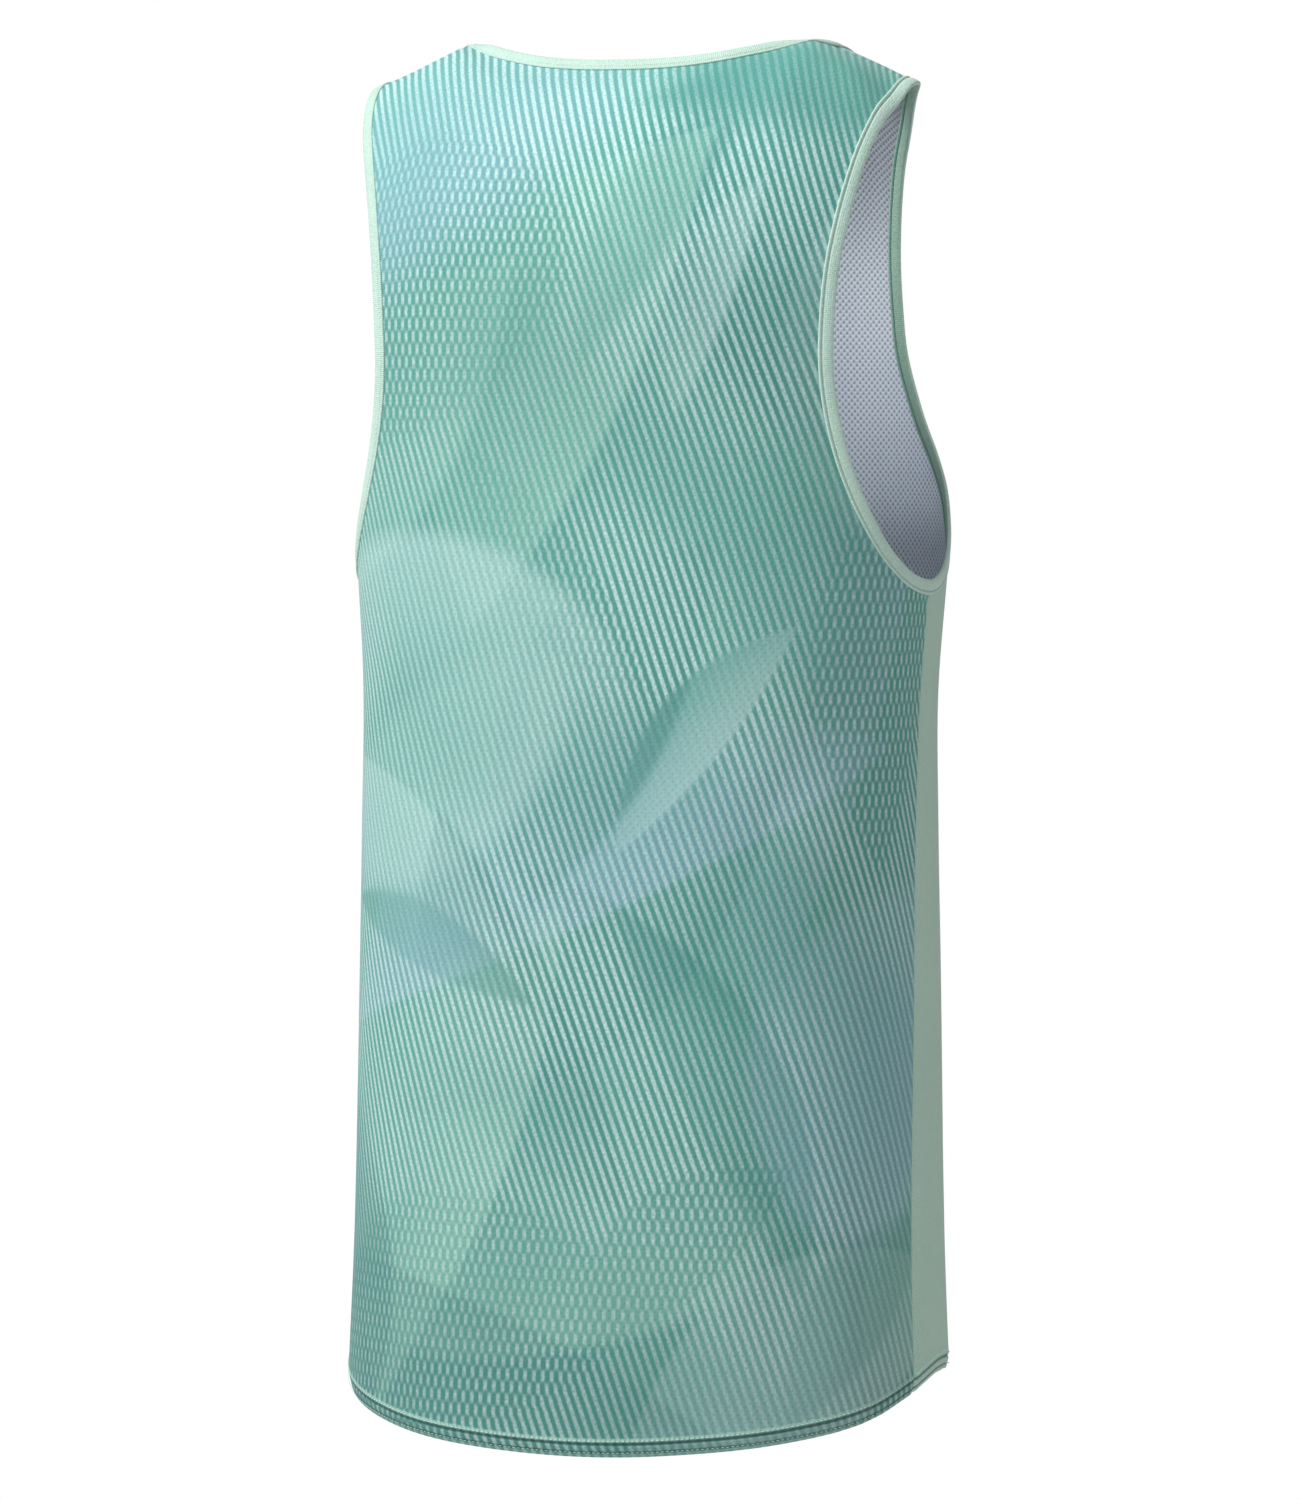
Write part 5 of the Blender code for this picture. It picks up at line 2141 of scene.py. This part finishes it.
@dataclass
class StitchRows:
    """Rows of stitches, laid along paths by Geometry Nodes."""

    spindle_sides: int = 6
    spindle_rings: int = 5

    def __post_init__(self) -> None:
        """Builds the tree that every row uses."""
        self.tree = self.build_tree()

    def build_tree(self) -> NodeTree:
        """Tree that puts one small spindle of thread on each step of a path.

        Returns:
            The tree.
        """
        inputs = {"Path": "Geometry", "Thread": "Material"}
        inputs |= dict.fromkeys(("Pitch", "Length", "Radius", "Slant"), "Float")
        graph = new_group("stitch_row", "GeometryNodeTree", inputs, ("Stitches", "Geometry"))
        given = graph.add("NodeGroupInput").outputs
        curve = graph.add("GeometryNodeMeshToCurve", {"Mesh": given["Path"]}).outputs["Curve"]
        steps = {"Curve": curve, "Length": given["Pitch"]}
        spaced = graph.add("GeometryNodeResampleCurve", steps, mode="LENGTH").outputs["Curve"]
        lift = graph.add("GeometryNodeInputNamedAttribute", {"Name": "lift"}, data_type="FLOAT_VECTOR")
        tangent = graph.add("GeometryNodeInputTangent").outputs[0]
        level = graph.add(
            "FunctionNodeAxesToRotation",
            {"Primary Axis": tangent, "Secondary Axis": lift.outputs["Attribute"]},
            primary_axis="X",
            secondary_axis="Z",
        ).outputs[0]
        parity = graph.math("MODULO", graph.add("GeometryNodeInputIndex").outputs[0], 2.0)
        side = graph.math("SUBTRACT", graph.product(parity, 2.0), 1.0)
        swing = graph.add("ShaderNodeCombineXYZ", {"Z": graph.product(side, given["Slant"])}).outputs[0]
        turn = {"Rotation": level, "Rotate By": swing}
        turned = graph.add("FunctionNodeRotateRotation", turn, rotation_space="LOCAL").outputs[0]
        parts = {"Segments": self.spindle_sides, "Rings": self.spindle_rings, "Radius": 1.0}
        ball = graph.add("GeometryNodeMeshUVSphere", parts)
        sizes = {"X": graph.product(given["Length"], 0.5), "Y": given["Radius"], "Z": given["Radius"]}
        spindle = {
            "Points": spaced, "Instance": ball.outputs["Mesh"], "Rotation": turned,
            "Scale": graph.add("ShaderNodeCombineXYZ", sizes).outputs[0],
        }
        stitches = graph.add("GeometryNodeInstanceOnPoints", spindle).outputs["Instances"]
        for kind, values in (
            ("GeometryNodeRealizeInstances", {}),
            ("GeometryNodeSetShadeSmooth", {}),
            ("GeometryNodeSetMaterial", {"Material": given["Thread"]}),
        ):
            stitches = graph.add(kind, {"Geometry": stitches, **values}).outputs[0]
        graph.add("NodeGroupOutput", {"Stitches": stitches})
        return graph.tree

    def row(self, path: Array, lift: Array, thread: Material, stitch: Stitch) -> Mesh:
        """Stitches along one closed path.

        Args:
            path: Points of the path.
            lift: Direction out of the cloth at each point.
            thread: Material of the thread.
            stitch: Size and pitch of the stitches.

        Returns:
            Plain mesh of the stitches.
        """
        count = len(path)
        mesh = bpy.data.meshes.new("stitch_path")
        mesh.from_pydata(path.tolist(), [(k, (k + 1) % count) for k in range(count)], [])
        layer = mesh.attributes.new("lift", "FLOAT_VECTOR", "POINT")
        layer.data.foreach_set("vector", lift.astype(np.float32).ravel())
        holder = link(mesh, "stitch_path")
        modifier = holder.modifiers.new("stitches", "NODES")
        modifier.node_group = self.tree
        values = {
            "Pitch": stitch.pitch * MM, "Length": stitch.length * MM, "Radius": stitch.radius * MM,
            "Slant": stitch.slant, "Thread": thread,
        }
        for item in self.tree.interface.items_tree:
            if item.in_out == "INPUT" and item.name in values:
                modifier[item.identifier] = values[item.name]
        graph = bpy.context.evaluated_depsgraph_get()
        made = bpy.data.meshes.new_from_object(holder.evaluated_get(graph))
        bpy.data.objects.remove(holder)
        made.materials.clear()
        made.materials.append(thread)
        made.polygons.foreach_set("material_index", np.zeros(len(made.polygons), np.int32))
        return made

    def piece(self, name: str, rows: Sequence[Mesh]) -> Object:
        """Joins rows of any threads into one piece.

        Args:
            name: Name of the piece.
            rows: Meshes of stitches, with one material each.

        Returns:
            The piece, with each thread's material once.
        """
        threads = list(dict.fromkeys(mesh.materials[0] for mesh in rows))
        joined = bmesh.new()
        for mesh in rows:
            start = len(joined.faces)
            joined.from_mesh(mesh)
            joined.faces.ensure_lookup_table()
            for face in joined.faces[start:]:
                face.material_index = threads.index(mesh.materials[0])
        mesh = bpy.data.meshes.new(name)
        joined.to_mesh(mesh)
        joined.free()
        for thread in threads:
            mesh.materials.append(thread)
        mesh.shade_smooth()
        return link(mesh, name)


def hem_trace(row: SeamRow, samples: int = 90) -> tuple[Array, Array]:
    """Path of a row of stitches all round the hem, and the direction out of the cloth along it.

    Args:
        row: Row of stitches.
        samples: Number of parts of each quarter of the way.

    Returns:
        Points of the path, and the direction at each.
    """
    share = np.linspace(0, 1, samples + 1)
    rises = {face: FORM.hem_height(face, share) + row.inward * MM for face in Face}
    points, normals = walk(HEM_RUNS, {face: np.stack([share, rise], axis=1) for face, rise in rises.items()})
    return points + normals * row.height * MM, normals


class Lamp(NamedTuple):
    """Square soft light: where it stands round the object, in degrees, its side and its power."""

    name: str
    azimuth: float
    distance: float
    height: float
    size: float
    power: float


LAMPS = (Lamp("key", 140, 3.2, 2.8, 1.8, 205), Lamp("fill", 214, 3.4, 1.9, 1.6, 16))


@dataclass(frozen=True)
class Studio:
    """Camera, lights, white surroundings and floor."""

    azimuth: float = math.radians(200)
    distance: float = 4.0
    eye_height: float = -0.1517
    lens: float = 182.9
    sensor: float = 36
    view_depth: float = 100
    pitch: float = math.radians(3.0)
    floor_height: float = -1.45
    floor_radius: float = 3.0
    floor_colour: tuple[float, ...] = (0.92, 0.92, 0.92, 1)
    floor_roughness: float = 0.9
    floor_sides: int = 96
    solid_share: float = 0.5
    aim_height: float = -0.35
    ambient: float = 0.405
    surround: float = 1.0

    def place(self, azimuth: float, distance: float, height: float) -> Vector:
        """Place round the object by azimuth, which is 0 in front and grows towards +X."""
        return Vector((distance * math.sin(azimuth), -distance * math.cos(azimuth), height))

    def add_camera(self) -> None:
        """Camera behind the object and a little to its right."""
        data = bpy.data.cameras.new("camera")
        data.lens = self.lens
        data.sensor_width = self.sensor
        data.clip_end = self.view_depth
        camera = bpy.data.objects.new("camera", data)
        camera.location = self.place(self.azimuth, self.distance, self.eye_height)
        camera.rotation_euler = (math.pi / 2 - self.pitch, 0, self.azimuth)
        bpy.context.scene.collection.objects.link(camera)
        bpy.context.scene.camera = camera

    def add_lamp(self, lamp: Lamp) -> None:
        """Adds a light that faces the chest.

        Args:
            lamp: Light to add.
        """
        data = bpy.data.lights.new(lamp.name, "AREA")
        data.size = lamp.size
        data.energy = lamp.power
        light = bpy.data.objects.new(lamp.name, data)
        light.location = self.place(math.radians(lamp.azimuth), lamp.distance, lamp.height)
        aim = Vector((0, 0, self.aim_height)) - light.location
        light.rotation_euler = aim.to_track_quat("-Z", "Y").to_euler()
        bpy.context.scene.collection.objects.link(light)

    def add_surroundings(self) -> None:
        """White as the camera sees it, and an even light on the cloth."""
        world = bpy.data.worlds.new("studio")
        world.use_nodes = True
        bpy.context.scene.world = world
        graph = Graph(world.node_tree)
        seen = graph.add("ShaderNodeLightPath").outputs["Is Camera Ray"]
        strength = graph.ease(seen, 0.0, 1.0, self.ambient, self.surround)
        graph.feed(world.node_tree.nodes["Background"], {"Strength": strength, "Color": (1, 1, 1, 1)})

    def add_floor(self) -> None:
        """Pale round floor that fades out at its rim."""
        mesh = bpy.data.meshes.new("floor")
        shape = bmesh.new()
        radius = self.floor_radius
        bmesh.ops.create_circle(shape, cap_ends=True, segments=self.floor_sides, radius=radius)
        bmesh.ops.translate(shape, verts=shape.verts, vec=(0, 0, self.floor_height))
        shape.to_mesh(mesh)
        shape.free()
        material, graph, shader = new_material("floor")
        place = graph.add("ShaderNodeTexCoord").outputs["Object"]
        reach = graph.vector("LENGTH", {0: graph.vector("MULTIPLY", {0: place, 1: (1, 1, 0)})})
        solid = graph.ease(reach, radius, self.solid_share * radius)
        look = {"Base Color": self.floor_colour, "Roughness": self.floor_roughness, "Alpha": solid}
        graph.feed(shader, look)
        mesh.materials.append(material)
        link(mesh, "floor")

    def build(self) -> None:
        """Makes the whole studio."""
        self.add_camera()
        self.add_surroundings()
        self.add_floor()
        for lamp in LAMPS:
            self.add_lamp(lamp)
        view = bpy.context.scene.view_settings
        view.view_transform = "Standard"
        view.look = "None"


@dataclass
class Singlet:
    """The whole garment."""

    arm_samples: int = 150
    neck_samples: int = 80

    def __post_init__(self) -> None:
        """Makes the finishes."""
        self.finishes = build_finishes()
        self.stitches = StitchRows()

    def panels(self) -> None:
        """Makes the four panels."""
        panels = []
        for face, finish, flat, creases in (
            (Face.BACK, Finish.BACK_PRINT, BACK_FLAT, BACK_CREASES),
            (Face.FRONT, Finish.FRONT_PRINT, FRONT_FLAT, FRONT_CREASES),
        ):
            node, runs = f"{face.value}_panel", (Run(face, -1, True), Run(face, 1, False))
            panels.append(Panel(node, "printed_knit", finish, runs, 0, SEAM_COLUMN, flat, creases))
        for name, hand in HANDS.items():
            node, runs = f"side_panel_{name}", side_runs(hand)
            panels.append(Panel(node, "side_mesh", Finish.SIDE, runs, SEAM_COLUMN, SIDE_COLUMN, SIDE_FLAT))
        for panel in panels:
            piece = panel.build(self.finishes)
            join(piece, [panel.node])

    def sew(self, name: str, rows: Sequence[SeamRow], trace: Trace) -> None:
        """Makes one piece of some rows of stitches.

        Args:
            name: Name of the piece.
            rows: Rows of stitches.
            trace: Gives a row's path and the direction out of the cloth along it.
        """
        made = [self.stitches.row(*trace(row), self.finishes[row.thread], row.stitch) for row in rows]
        join(self.stitches.piece(name, made))

    def bindings(self) -> None:
        """Makes the three bindings with their rows of stitches."""
        arm = EdgeBand({face: FORM.armhole_line(face) for face in Face}, -1, self.arm_samples)
        neck = EdgeBand({face: FORM.neck_line(face) for face in Face}, 1, self.neck_samples)
        bindings = [Binding("neck_binding", neck, NECK_RUNS)]
        for name, hand in HANDS.items():
            bindings.append(Binding(f"armhole_binding_{name}", arm, side_runs(hand)))
        for binding in bindings:
            piece = binding.build(self.finishes)
            join(piece, [binding.node])
            round(binding.length(), 3)
            self.sew(binding.node.replace("binding", "stitches"), BINDING_ROWS, binding.trace)

    def build(self) -> None:
        """Makes all the pieces."""
        self.panels()
        self.bindings()
        self.sew("hem_stitches", HEM_ROWS, hem_trace)


def main() -> None:
    """Builds the studio and the singlet."""
    logging.basicConfig(level=logging.INFO, format="%(name)s: %(message)s")
    Studio().build()
    Singlet().build()
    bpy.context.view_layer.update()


if __name__ == "__main__":
    main()
